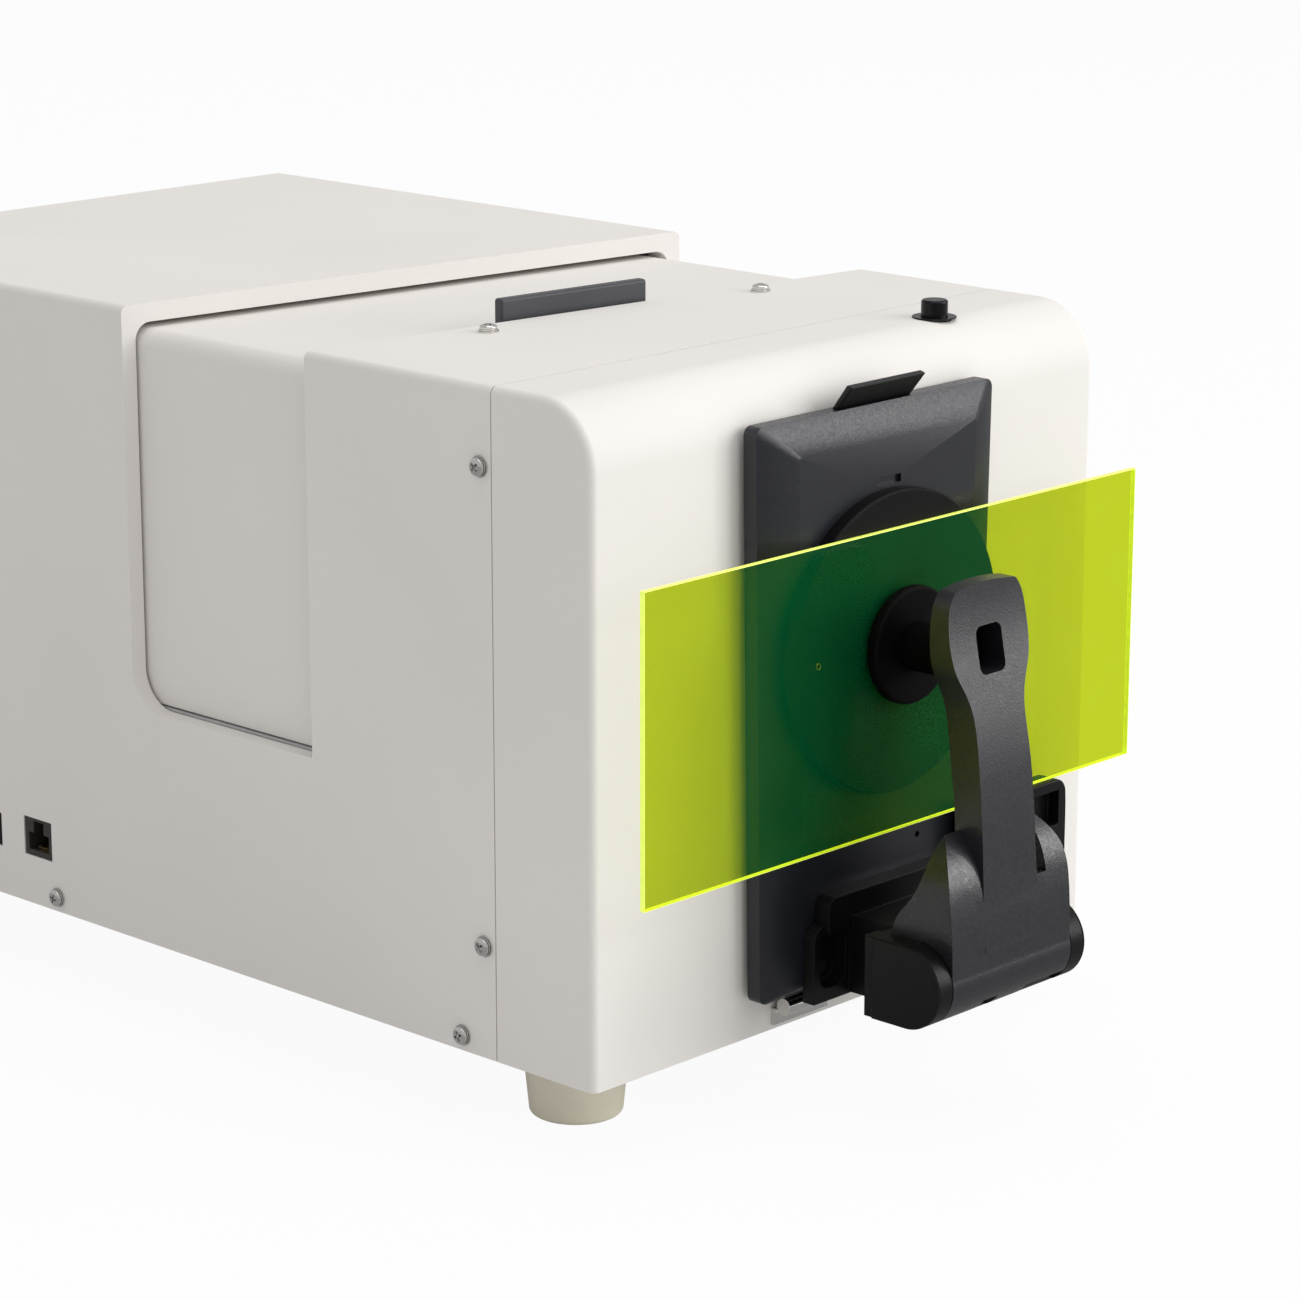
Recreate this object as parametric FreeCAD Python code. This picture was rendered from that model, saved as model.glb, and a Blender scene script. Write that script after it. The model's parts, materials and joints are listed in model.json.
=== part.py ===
import FreeCAD, Part
import math
import os

Vector = FreeCAD.Vector

# Driving dimensions, in millimetres.
# Frame while building: x to the right from the middle, y back from the front face, z up from the table.

# casing
body_width = 271.0
body_depth = 458.0
foot_height = 31.0
axis_headroom = 102.4
rear_rise = 3.9
cover_wall = 2.5
cover_fit = 0.3
cover_edge_radius = 3.0
brow_radius = 24.0
pick_margin = 1.0
seam_y = 47.5
seam_gap = 0.5
pan_wall = 2.0
pan_flange = 18.0
tab_margin = 9.0
upright_width = 18.0
rear_panel_wall = 2.5
foot_inset_x = 43.6
foot_front_inset = 51.5
foot_rear_inset = 40.0
foot_top_radius = 20.0
foot_bottom_radius = 17.0
foot_rounding = 2.0
foot_recess_radius = 6.0
foot_recess_depth = 10.0

# transmittance chamber, turned with the optical axis
optic_tilt = 6.0
chamber_clearance = 11.8
chamber_length = 100.7
recess_floor = 92.7
recess_corner_radius = 15.0
lip_side = 6.0
lip_top = 7.2
lip_depth = 10.0

# sliding hood
hood_inset = 7.3
hood_drop = 9.5
hood_wall = 2.0
hood_edge_radius = 6.5
hood_overlap = 14.0
hood_front_gap = 0.6
hood_ride = 1.2
handle_length = 70.0
handle_thickness = 4.8
handle_rise = 13.4
handle_x = -9.5
handle_setback = 2.5
handle_edge_radius = 1.2
rail_gap = 0.2
rail_guide_wall = 1.6
rail_guide_height = 4.0
rail_start_gap = 2.0

# inner structure
plate_wall = 3.0
deck_drop = 3.4
deck_back_gap = 18.0
post_radius = 7.0
post_inset = 14.0
middle_post_x = -18.0
bulkhead_flange = 16.0
bulkhead_side_gap = 1.0
bulkhead_setback = 2.0
bulkhead_top_gap = 2.0
window_radius = 22.0
window_wall = 2.0
window_seat = 3.0

# integrating sphere and port
axis_height = 140.0
sphere_radius = 56.0
sphere_wall = 5.0
sphere_front_gap = 1.5
sphere_flange_radius = 62.0
sphere_flange_wall = 4.0
port_bore_radius = 16.0
port_tube_radius = 30.0
port_hole_gap = 1.0
reading_port_radius = 10.0
cradle_width = 60.0
lamp_tube_radius = 5.0
lamp_tube_length = 46.0
lamp_box_width = 70.0
lamp_box_depth = 50.0
lamp_box_rise = 36.0
lamp_box_wall = 3.0
lamp_box_end = 4.0
lamp_box_skirt = 10.0
lamp_headroom = 4.0
lamp_port_gap = 3.0
holder_half = 7.0
cradle_share = 0.75

# port door
door_standoff = 3.0
door_rim = 6.0
door_bevel = 6.0
door_wall = 4.0
door_rib = 6.0
door_above_axis = 85.2
door_bottom = 15.0
door_half_top = 64.0
door_half_bottom = 60.0
door_corner_radius = 3.5
face_half = 48.0
face_above_axis = 73.0
face_bottom = 20.0
tab_width = 40.0
tab_rise = 9.4
tab_lean = 7.0
tab_wall = 2.6
tab_edge_drop = 0.8
mask_radius = 55.5
mask_proud = 5.5
mask_aperture_radius = 12.7
mask_spigot_radius = 38.0
mask_fit = 0.1
mask_edge_radius = 1.0
spigot_setback = 1.0
notch_width = 12.5
notch_height = 3.0
notch_above_mask = 1.2
notch_depth = 1.5
sight_hole_x = 18.5
sight_hole_height = 63.0
sight_hole_radius = 1.2

# door hinge
door_hinge_y = -6.0
door_hinge_z = 10.0
door_pin_radius = 1.5
door_barrel_radius = 3.2
door_leaf_wall = 1.5
door_hinge_half = 44.0
leaf_gap = 0.3
leaf_height = 6.3
hinge_fit = 0.05

# specimen arm and its hinge base
arm_axis_y = -60.5
arm_axis_z = 29.6
arm_barrel_radius = 15.0
arm_half = 33.0
neck_half = 14.6
head_above_axis = 28.9
knuckle_wall = 7.0
knuckle_gap = 0.4
cap_wall = 1.0
arm_pin_radius = 4.0
base_overhang = 1.0
base_plate_depth = 5.5
base_corner_radius = 6.0
shelf_corner_radius = 4.0
base_plate_top = 43.0
shelf_half = 38.0
shelf_bottom = 39.5
shelf_top = 52.5
shelf_depth = 7.0
bearing_back = 15.7
bearing_half = 25.0
beam_wall = 4.0
bearing_drop = 1.0
pocket_width = 14.0
pocket_height = 22.0
pocket_depth = 3.5
pocket_hole_radius = 3.2
pocket_hole_rise = 3.0
pocket_rise = 5.0
pocket_margin = 3.0
pocket_radius = 5.0
grip_width = 14.0
grip_height = 17.0
grip_above_axis = 5.1
grip_radius = 3.0
slot_width = 5.0
slot_inset = 1.0
slot_height = 14.0

spring_wire_radius = 0.8
spring_pitch = 2.2
spring_turns = 8
spring_pin_gap = 0.3
spring_well_radius = 8.0
spring_well_margin = 1.0

# specimen arm lines: (depth, height) seen from the side, (half width, height) seen from the front
# neck heights are above the port axis, skirt heights above the arm axis
neck_front_line = ((-75.0, -101.0), (-73.8, -85.0), (-72.6, -65.0), (-69.0, -29.0), (-65.6, -11.0),
                   (-61.2, 11.0), (-59.4, head_above_axis))
neck_back_line = ((-52.6, head_above_axis), (-52.4, 7.0), (-54.6, -20.0), (-59.0, -49.0), (-60.0, -81.0),
                  (arm_axis_y, -101.0))
neck_half_line = ((neck_half, -101.0), (neck_half, -61.0), (14.0, -29.0), (14.3, -15.0), (16.5, -8.0),
                  (19.8, -1.0), (21.3, 7.0), (21.2, 15.0), (19.6, 23.0), (16.5, 27.5))
skirt_front_line = ((-75.4, -3.0), (-74.6, 15.7), (-73.4, 29.7), (-70.5, 40.7), (-65.5, 48.2), (-61.5, 52.2))
skirt_back_line = ((-61.5, 52.2), (-60.6, 46.5), (-59.2, 37.5), (-55.3, 29.6), (-48.4, 20.5), (-46.6, 10.0),
                   (-47.0, 0.0))
skirt_half_line = ((arm_half, 14.7), (arm_half, 29.7), (31.0, 40.7), (25.0, 49.7), (neck_half, 57.7))
skirt_notches = ((-12.5, -4.5), (11.5, arm_half))
notch_drop = 9.0
notch_front = 6.0
skirt_hollow_front = -68.5
skirt_hollow_wall = 5.0
skirt_hollow_rise = 19.0
skirt_hollow_top = 43.7
slot_rise = 31.7

# specimen pad and sample
pad_radius = 21.5
pad_thickness = 5.5
pad_edge_radius = 1.2
pad_contact_radius = 2.5
stem_radius = 9.0
backing_margin = 4.0
backing_back_y = -50.0
plate_length = 268.0
plate_height = 111.8
plate_thickness = 2.0
plate_edge_radius = 0.4
plate_below_axis = 69.2
plate_gap = 0.15
rest_gap = 1.0
rest_proud = 2.0
rest_pocket_width = 18.0
rest_pocket_height = 13.0
rest_pocket_margin = 4.5
rest_pocket_depth = 5.0
rest_right = 94.0
rest_height = 34.0
rest_radius = 6.0

# measuring button
button_x = 70.4
button_y = 24.1
button_radius = 5.0
button_rise = 6.8
button_travel = 3.0
button_fit = 0.06
button_stem_radius = 2.0
button_edge_radius = 1.0
button_rest_gap = 1.0
stem_entry = 1.0
collar_radius = 8.3
collar_rise = 0.6
collar_wall = 1.7
collar_depth = 9.0
switch_size = 14.0

# screws: depth and height of each along the lower and the front edges of the cover
seam_screw_y = 53.2
seam_screw_low = 41.8
seam_screw_drop = 28.3
low_screw_y = (64.7, 292.8)
low_screw_back = 28.0
low_screw_rise = 6.0
top_screw_x = (-63.8, 67.9)
top_screw_setback = 12.4
rear_screw_inset = 8.0
rear_screw_drop = 14.0
screw_head_radius = 3.1
screw_head_height = 2.2
screw_crown_radius = 1.4
washer_radius = 3.9
washer_wall = 0.8
shank_radius = 1.9
shank_length = 9.0
cross_length = 3.6
cross_width = 0.8
cross_depth = 1.2
screw_hole_gap = 0.15

# sockets on the left side
socket_from_back = 153.6
socket_pitch = 30.0
socket_width = 16.6
socket_height = 15.2
socket_bottom = 19.9
socket_depth = 17.0
socket_wall = 2.2
second_socket_width = 14.0
second_socket_height = 13.0
socket_gap = 0.3
socket_recess = 0.4
socket_back_wall = 3.0
socket_key_wall = 1.2
network_cavity = 7.0
network_key_width = 6.0
data_cavity = 8.6
data_key_width = 4.0

# rear fittings
inlet_x = -70.0
inlet_z = 46.0
inlet_width = 28.0
inlet_height = 21.0
inlet_depth = 24.0
inlet_wall = 2.2
inlet_flange = 5.0
inlet_flange_wall = 2.5
inlet_pin_width = 2.0
inlet_pin_height = 4.0
inlet_pin_spacing = 7.0
inlet_pin_offset = 2.0
inlet_pin_setback = 4.0
inlet_back_wall = 6.0
switch_x = -28.0
rocker_width = 11.0
rocker_height = 20.0
rocker_angle = 12.0
rocker_gap = 0.3
rocker_end_gap = 1.0
rocker_root = 2.5
rocker_root_half = 4.0
rocker_edge = 2.2
rocker_ridge = 4.0
switch_depth = 16.0
bezel_wall = 1.5
bezel_margin = 2.0
axle_setback = 5.0
axle_radius = 1.2
vent_count = 9
vent_width = 5.0
vent_height = 60.0
vent_radius = 2.25
vent_pitch = 11.0
vent_x = 60.0
vent_z = 130.0

# electronics
board_post_gap = 8.7
board_rear_gap = 83.0
board_wall = 1.6
board_front = 175.0
standoff_radius = 3.0
standoff_inset = 8.0
board_side_gap = 1.0
supply_post_gap = 3.2
supply_left_gap = 16.0
supply_gap = 15.0
supply_rear_gap = 25.5
supply_height = 52.0
lamp_supply_inset = 5.0
lamp_supply_length = 80.0
lamp_supply_height = 40.0
capacitor_radius = 17.0
capacitor_share = 0.6

# spectrograph
case_left = -65.0
case_side_gap = 18.3
case_front_gap = 76.3
case_rear_gap = 17.5
case_headroom = 19.5
case_wall = 3.0
objective_radius = 22.0
objective_wall = 2.5
lens_thickness = 6.0
lens_inset = 12.0
grating_radius = 25.0
grating_thickness = 9.0
grating_gap = 17.0
sensor_share = 0.4
sensor_wall = 6.0

# Levels and planes worked out from the driving dimensions.
half_width = body_width / 2
floor_z = foot_height
cover_height = axis_height + axis_headroom
front_top_z = floor_z + cover_height
rear_top_z = front_top_z + rear_rise
inner_half = half_width - cover_wall - cover_fit
pan_top_z = floor_z + pan_wall
recess_z = floor_z + recess_floor
axis_z = floor_z + axis_height
tilt_slope = math.tan(math.radians(optic_tilt))
tilt_cos = math.cos(math.radians(optic_tilt))
sphere_y = cover_wall + sphere_front_gap + sphere_radius
sphere_centre = Vector(0, sphere_y, axis_z)
chamber_front_mid = sphere_y + sphere_radius + chamber_clearance
chamber_front_left = chamber_front_mid + half_width * tilt_slope
hood_top_z = rear_top_z - hood_drop
hood_half = half_width - hood_inset
hood_bottom_z = recess_z + hood_ride
deck_top_z = hood_bottom_z - deck_drop
deck_bottom_z = deck_top_z - plate_wall
deck_half = half_width - lip_side - cover_fit
deck_back = body_depth - rear_panel_wall - deck_back_gap
side_post_x = deck_half - post_inset
bulkhead_half = hood_half - hood_wall - cover_fit - rail_guide_wall - bulkhead_side_gap
door_top = axis_height + door_above_axis
face_top = axis_height + face_above_axis
socket_y = body_depth - socket_from_back
door_back_y = -door_standoff
door_rim_y = door_back_y - door_rim
face_y = door_rim_y - door_bevel
low_face_half = face_half - (door_half_top - door_half_bottom)
mask_y = face_y - mask_proud
plate_back_y = mask_y - plate_gap
plate_front_y = plate_back_y - plate_thickness
pad_back_y = plate_front_y - plate_gap
pad_front_y = pad_back_y - pad_thickness
arm_z = floor_z + arm_axis_z
hinge_z = floor_z + door_hinge_z
arm_front_y = arm_axis_y - arm_barrel_radius
rear_reach = max(inlet_flange_wall, washer_wall + screw_head_height)
mid_y = (arm_front_y + body_depth + rear_reach) / 2

shapes = {}


def chamber_front(x):
    return chamber_front_left - (x + half_width) * tilt_slope


def chamber_back(x):
    return chamber_front(x) + chamber_length


def axis_x(y):
    return (y - mask_y) * tilt_slope


def axis_point(y):
    return Vector(axis_x(y), y, axis_z)


def box(x0, x1, y0, y1, z0, z1):
    return Part.makeBox(x1 - x0, y1 - y0, z1 - z0, Vector(x0, y0, z0))


def rod(radius, start, end):
    span = end - start
    return Part.makeCylinder(radius, span.Length, start, span)


def ring(outer, inner, start, end):
    return rod(outer, start, end).cut(rod(inner, start, end))


def wire(points):
    return Part.makePolygon(points + points[:1])


def prism(points, direction):
    return Part.Face(wire(points)).extrude(direction)


def rounded_wire(points, radius):
    edges = []
    count = len(points)
    corners = []
    for i in range(count):
        corner = points[i]
        before = (points[i - 1] - corner).normalize()
        after = (points[(i + 1) % count] - corner).normalize()
        half_turn = before.getAngle(after) / 2
        reach = radius / math.tan(half_turn)
        middle = (before + after).normalize()
        centre = corner + middle * (radius / math.sin(half_turn))
        corners.append((corner + before * reach, centre - middle * radius, corner + after * reach))
    for i in range(count):
        first, mid, last = corners[i]
        edges.append(Part.Arc(first, mid, last).toShape())
        edges.append(Part.makeLine(last, corners[(i + 1) % count][0]))
    return Part.Wire(edges)


def rounded_prism(points, radius, direction):
    return Part.Face(rounded_wire(points, radius)).extrude(direction)


def slanted_slab(front_left_y, thickness, z0, z1, half=2 * body_width):
    offset = (half - half_width) * tilt_slope
    points = [
        Vector(-half, front_left_y + offset, z0),
        Vector(half, front_left_y + offset - 2 * half * tilt_slope, z0),
        Vector(half, front_left_y + offset - 2 * half * tilt_slope + thickness, z0),
        Vector(-half, front_left_y + offset + thickness, z0),
    ]
    return prism(points, Vector(0, 0, z1 - z0))


def edges_along(shape, axis, test):
    found = []
    for edge in shape.Edges:
        if edge.Curve.TypeId != "Part::GeomLine":
            continue
        first, last = edge.Vertexes[0].Point, edge.Vertexes[-1].Point
        if abs((last - first).normalize().dot(axis)) > 0.999 and test((first + last) / 2):
            found.append(edge)
    return found


def circles(shape, test):
    return [edge for edge in shape.Edges
            if edge.Curve.TypeId == "Part::GeomCircle" and test(edge.Curve.Center)]


def keep(name, shape):
    shapes[name] = shape


def rounded_cover(half, top, y0, y1, radius, bottom=floor_z):
    solid = box(-half, half, y0, y1, bottom, top)
    along = edges_along(solid, Vector(0, 1, 0), lambda p: p.z > top - pick_margin)
    return solid.makeFillet(radius, along)


# casing

def screw_places():
    spots = [(seam_screw_y, seam_screw_low), (seam_screw_y, cover_height - seam_screw_drop)]
    spots += [(y, low_screw_rise) for y in low_screw_y + (body_depth - low_screw_back,)]
    places = []
    for side in (-1, 1):
        for y, z in spots:
            places.append((Vector(side * half_width, y, floor_z + z), Vector(side, 0, 0)))
    return places


def top_screw_places():
    places = []
    for x in top_screw_x:
        y = chamber_front(x) - top_screw_setback
        places.append((Vector(x, y, front_top_z), Vector(0, 0, 1)))
    return places


def rear_screw_places():
    places = []
    for side in (-1, 1):
        for z in (pan_top_z + rear_screw_inset, rear_top_z - rear_screw_drop):
            places.append((Vector(side * (inner_half - rear_screw_inset), body_depth, z), Vector(0, 1, 0)))
    return places


def screw(place, out):
    washer = rod(washer_radius, place, place + out * washer_wall)
    seat = place + out * washer_wall
    head = rod(screw_head_radius, seat, seat + out * screw_head_height)
    rim = circles(head, lambda centre: (centre - seat).dot(out) > screw_head_height / 2)
    head = head.makeFillet(screw_crown_radius, rim)
    top = seat + out * screw_head_height
    side = Vector(0, 0, 1) if abs(out.z) < 0.5 else Vector(0, 1, 0)
    for turn in (0, 90):
        bar = Part.makeBox(cross_width, cross_length, 2 * cross_depth)
        bar.translate(Vector(-cross_width / 2, -cross_length / 2, -cross_depth))
        bar.rotate(Vector(), Vector(0, 0, 1), turn)
        bar.Placement = FreeCAD.Placement(top, FreeCAD.Rotation(Vector(0, 0, 1), out)).multiply(bar.Placement)
        head = head.cut(bar)
    shank = rod(shank_radius, place, place - out * shank_length)
    return washer.fuse([head, shank]).removeSplitter()


def screw_holes(shape, places):
    drills = []
    for place, out in places:
        drills.append(rod(shank_radius + screw_hole_gap, place - out * 2 * shank_length, place + out))
    return shape.cut(drills)


def opening_prism(back_margin, down_margin, radius):
    length = chamber_length + back_margin
    low = recess_z - down_margin
    solid = slanted_slab(chamber_front_left, length, low, 2 * rear_top_z)
    rear_low = edges_along(solid, Vector(1, -tilt_slope, 0).normalize(),
                           lambda p: p.z < low + pick_margin and p.y > chamber_front(p.x) + length / 2)
    return solid.makeFillet(radius, rear_low)


def make_main_cover():
    start = seam_y + seam_gap
    beyond = 2 * body_depth
    opening = opening_prism(0, 0, recess_corner_radius)
    behind = slanted_slab(chamber_front_left + chamber_length, 2 * body_depth, 0, 2 * rear_top_z)
    front_solid = rounded_cover(half_width, front_top_z, start, body_depth, cover_edge_radius)
    rear_solid = rounded_cover(half_width, rear_top_z, start, body_depth, cover_edge_radius).common(behind)
    solid = front_solid.fuse(rear_solid).cut(opening)
    inner_radius = cover_edge_radius - cover_wall
    inner_side = half_width - cover_wall
    front_core = rounded_cover(inner_side, front_top_z - cover_wall, 0, beyond, inner_radius, 0)
    rear_core = rounded_cover(inner_side, rear_top_z - cover_wall, 0, beyond, inner_radius, 0)
    shell = solid.cut([front_core, rear_core.common(behind)])
    lip_core = rounded_cover(half_width - lip_side, rear_top_z - lip_top, 0, beyond,
                             hood_edge_radius, 0)
    lip_zone = opening_prism(lip_depth, lip_depth, recess_corner_radius + lip_depth)
    lip = solid.cut(lip_core).common(lip_zone)
    cover = shell.fuse(lip).removeSplitter()
    ports = []
    low = floor_z + socket_bottom
    for y, width, height in ((socket_y, socket_width, socket_height),
                             (socket_y + socket_pitch, second_socket_width, second_socket_height)):
        reach = width / 2 + socket_gap
        ports.append(box(-half_width, -inner_side, y - reach, y + reach,
                         low - socket_gap, low + height + socket_gap))
    cover = cover.cut(ports)
    keep("main_cover", screw_holes(cover, screw_places() + top_screw_places()))


def brow_block(inset, back, bottom):
    # block of the front cover, set in by a wall: rounded brow, then both side outlines rounded along it
    half = half_width - inset
    top = front_top_z - inset
    solid = box(-half, half, inset, back, bottom, top)
    brow = edges_along(solid, Vector(1, 0, 0),
                       lambda p: p.z > top - pick_margin and p.y < inset + pick_margin)
    solid = solid.makeFillet(brow_radius - inset, brow)
    outline = []
    for edge in solid.Edges:
        bounds = edge.BoundBox
        on_side = bounds.XLength < pick_margin
        if on_side and bounds.YMin < back - pick_margin and bounds.ZMax > bottom + pick_margin:
            outline.append(edge)
    return solid.makeFillet(cover_edge_radius - inset, outline)


def make_front_cover():
    solid = brow_block(0, seam_y, floor_z)
    core = brow_block(cover_wall, 2 * seam_y, 0)
    port_hole = rod(port_tube_radius + port_hole_gap, Vector(0, 0, axis_z), Vector(0, seam_y, axis_z))
    button_hole = rod(collar_radius - collar_wall, Vector(button_x, button_y, axis_z),
                      Vector(button_x, button_y, rear_top_z))
    keep("front_cover", solid.cut([core, port_hole, button_hole]))


def make_base_pan():
    front = cover_wall + cover_fit
    back = body_depth - rear_panel_wall - cover_fit
    pan = box(-inner_half, inner_half, front, back, floor_z, pan_top_z)
    walls = [
        box(-inner_half, -inner_half + pan_wall, front, back, floor_z, floor_z + pan_flange),
        box(inner_half - pan_wall, inner_half, front, back, floor_z, floor_z + pan_flange),
        box(-inner_half, inner_half, front, front + pan_wall, floor_z, floor_z + pan_flange),
        box(-inner_half, inner_half, back - pan_wall, back, floor_z, floor_z + pan_flange),
    ]
    tabs = []
    for place, out in screw_places():
        if place.z > floor_z + pan_flange:
            tabs.append(box(min(out.x * inner_half, out.x * (inner_half - pan_wall)),
                            max(out.x * inner_half, out.x * (inner_half - pan_wall)),
                            place.y - tab_margin, place.y + tab_margin, floor_z, place.z + tab_margin))
    for place, out in rear_screw_places():
        if place.z > floor_z + pan_flange:
            side = math.copysign(1, place.x)
            first, last = sorted((side * inner_half, side * (inner_half - upright_width)))
            tabs.append(box(first, last, back - pan_wall, back, floor_z, place.z + tab_margin))
    pan = pan.fuse(walls + tabs).removeSplitter()
    corners = edges_along(pan, Vector(0, 0, 1),
                          lambda p: p.y < front + pick_margin and abs(p.x) > inner_half - pick_margin)
    pan = pan.makeFillet(cover_edge_radius - cover_wall, corners)
    keep("base_pan", screw_holes(pan, screw_places() + rear_screw_places()))


def foot_places():
    x = half_width - foot_inset_x
    front, rear = foot_front_inset, body_depth - foot_rear_inset
    return [("front_left", -x, front), ("front_right", x, front),
            ("rear_left", -x, rear), ("rear_right", x, rear)]


def make_feet():
    for name, x, y in foot_places():
        foot = Part.makeCone(foot_bottom_radius, foot_top_radius, foot_height, Vector(x, y, 0))
        foot = foot.makeFillet(foot_rounding, circles(foot, lambda centre: centre.z < pick_margin))
        foot = foot.cut(Part.makeCylinder(foot_recess_radius, foot_recess_depth, Vector(x, y, 0)))
        keep("foot_" + name, foot)


# hood

def make_hood():
    length = chamber_length - hood_front_gap + hood_overlap
    slab = slanted_slab(chamber_front_left + hood_front_gap, length, 0, 2 * rear_top_z)
    outer = rounded_cover(hood_half, hood_top_z, 0, body_depth, hood_edge_radius, hood_bottom_z)
    inner = rounded_cover(hood_half - hood_wall, hood_top_z - hood_wall, 0, body_depth,
                          hood_edge_radius - hood_wall, 0)
    keep("hood", outer.cut(inner).common(slab))


def make_hood_handle():
    y = chamber_front(handle_x) + handle_setback
    bar = box(-handle_length / 2, handle_length / 2, 0, handle_thickness, 0, handle_rise)
    crown = [edge for edge in bar.Edges if edge.BoundBox.ZMax > handle_rise / 2]
    bar = bar.makeFillet(handle_edge_radius, crown)
    bar.rotate(Vector(), Vector(0, 0, 1), -optic_tilt)
    bar.translate(Vector(handle_x, y, hood_top_z))
    keep("hood_handle", bar)


def make_rails():
    outer = deck_half
    guide_outer = hood_half - hood_wall - cover_fit
    guide_inner = guide_outer - rail_guide_wall
    for name, side in (("left", -1), ("right", 1)):
        start = max(chamber_front(side * outer), chamber_front(side * guide_inner)) + rail_start_gap
        low = box(guide_inner, outer, start, deck_back, deck_top_z, hood_bottom_z - rail_gap)
        guide = box(guide_inner, guide_outer, start, deck_back,
                    deck_top_z, hood_bottom_z + rail_guide_height)
        rail = low.fuse(guide).removeSplitter()
        if side < 0:
            rail = rail.mirror(Vector(), Vector(1, 0, 0))
        keep("hood_rail_" + name, rail)


# inner structure

def make_deck():
    front = slanted_slab(chamber_front_left, 2 * body_depth, 0, 2 * rear_top_z)
    deck = box(-deck_half, deck_half, 0, deck_back, deck_bottom_z, deck_top_z).common(front)
    keep("optics_deck", deck)
    posts = []
    edge = side_post_x
    middle = (chamber_front_left + deck_back) / 2
    spots = ((-edge, chamber_front(-edge) + post_inset), (edge, chamber_front(edge) + post_inset),
             (middle_post_x, middle), (edge, middle),
             (-edge, deck_back - post_inset), (edge, deck_back - post_inset))
    for x, y in spots:
        posts.append(rod(post_radius, Vector(x, y, pan_top_z), Vector(x, y, deck_bottom_z)))
    keep("deck_posts", Part.makeCompound(posts))


def make_bulkheads():
    gap = cover_fit
    top = front_top_z - cover_wall - gap
    bounds = box(-inner_half, inner_half, 0, body_depth, pan_top_z, top)
    pan_walls = box(inner_half - pan_wall - gap, inner_half, 0, body_depth, 0, floor_z + pan_flange + gap)
    mirror_walls = pan_walls.mirror(Vector(), Vector(1, 0, 0))
    plate = slanted_slab(chamber_front_left - plate_wall, plate_wall, pan_top_z, top)
    flange = slanted_slab(chamber_front_left - plate_wall - bulkhead_flange, bulkhead_flange + plate_wall,
                          top - pan_wall, top)
    foot = slanted_slab(chamber_front_left - plate_wall - bulkhead_flange, bulkhead_flange + plate_wall,
                        pan_top_z, pan_top_z + pan_wall)
    light = rod(window_radius - window_seat, axis_point(0), axis_point(2 * chamber_front_left))
    corners = rounded_cover(inner_half, top, 0, body_depth, cover_edge_radius - cover_wall, 0)
    bulkhead = plate.fuse([flange, foot]).common(bounds).common(corners)
    bulkhead = bulkhead.cut([pan_walls, mirror_walls, light]).removeSplitter()
    keep("front_bulkhead", screw_holes(bulkhead, top_screw_places()))

    start = chamber_front_left + chamber_length + bulkhead_setback
    top = hood_top_z - hood_wall - bulkhead_top_gap
    bounds = rounded_cover(bulkhead_half, top, 0, body_depth, hood_edge_radius, deck_top_z)
    plate = slanted_slab(start, plate_wall, deck_top_z, top)
    foot = slanted_slab(start, bulkhead_flange, deck_top_z, deck_top_z + pan_wall)
    light = rod(objective_radius - objective_wall, axis_point(0), axis_point(body_depth))
    keep("rear_bulkhead", plate.fuse(foot).common(bounds).cut(light).removeSplitter())


def tilted_disc(radius, thickness, y):
    direction = Vector(math.sin(math.radians(optic_tilt)), tilt_cos, 0)
    start = axis_point(y)
    return rod(radius, start, start + direction * thickness)


def axis_cross(front_left_y):
    # y where the optical axis crosses a plane that is square to it
    return (front_left_y - (half_width - mask_y * tilt_slope) * tilt_slope) / (1 + tilt_slope ** 2)


def make_windows():
    front = axis_cross(chamber_front_left - plate_wall)
    window = tilted_disc(window_radius, window_wall, front)
    window.translate(Vector(math.sin(math.radians(optic_tilt)), tilt_cos, 0) * -window_wall)
    keep("chamber_window", window)


# sphere, port and lamp

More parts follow.
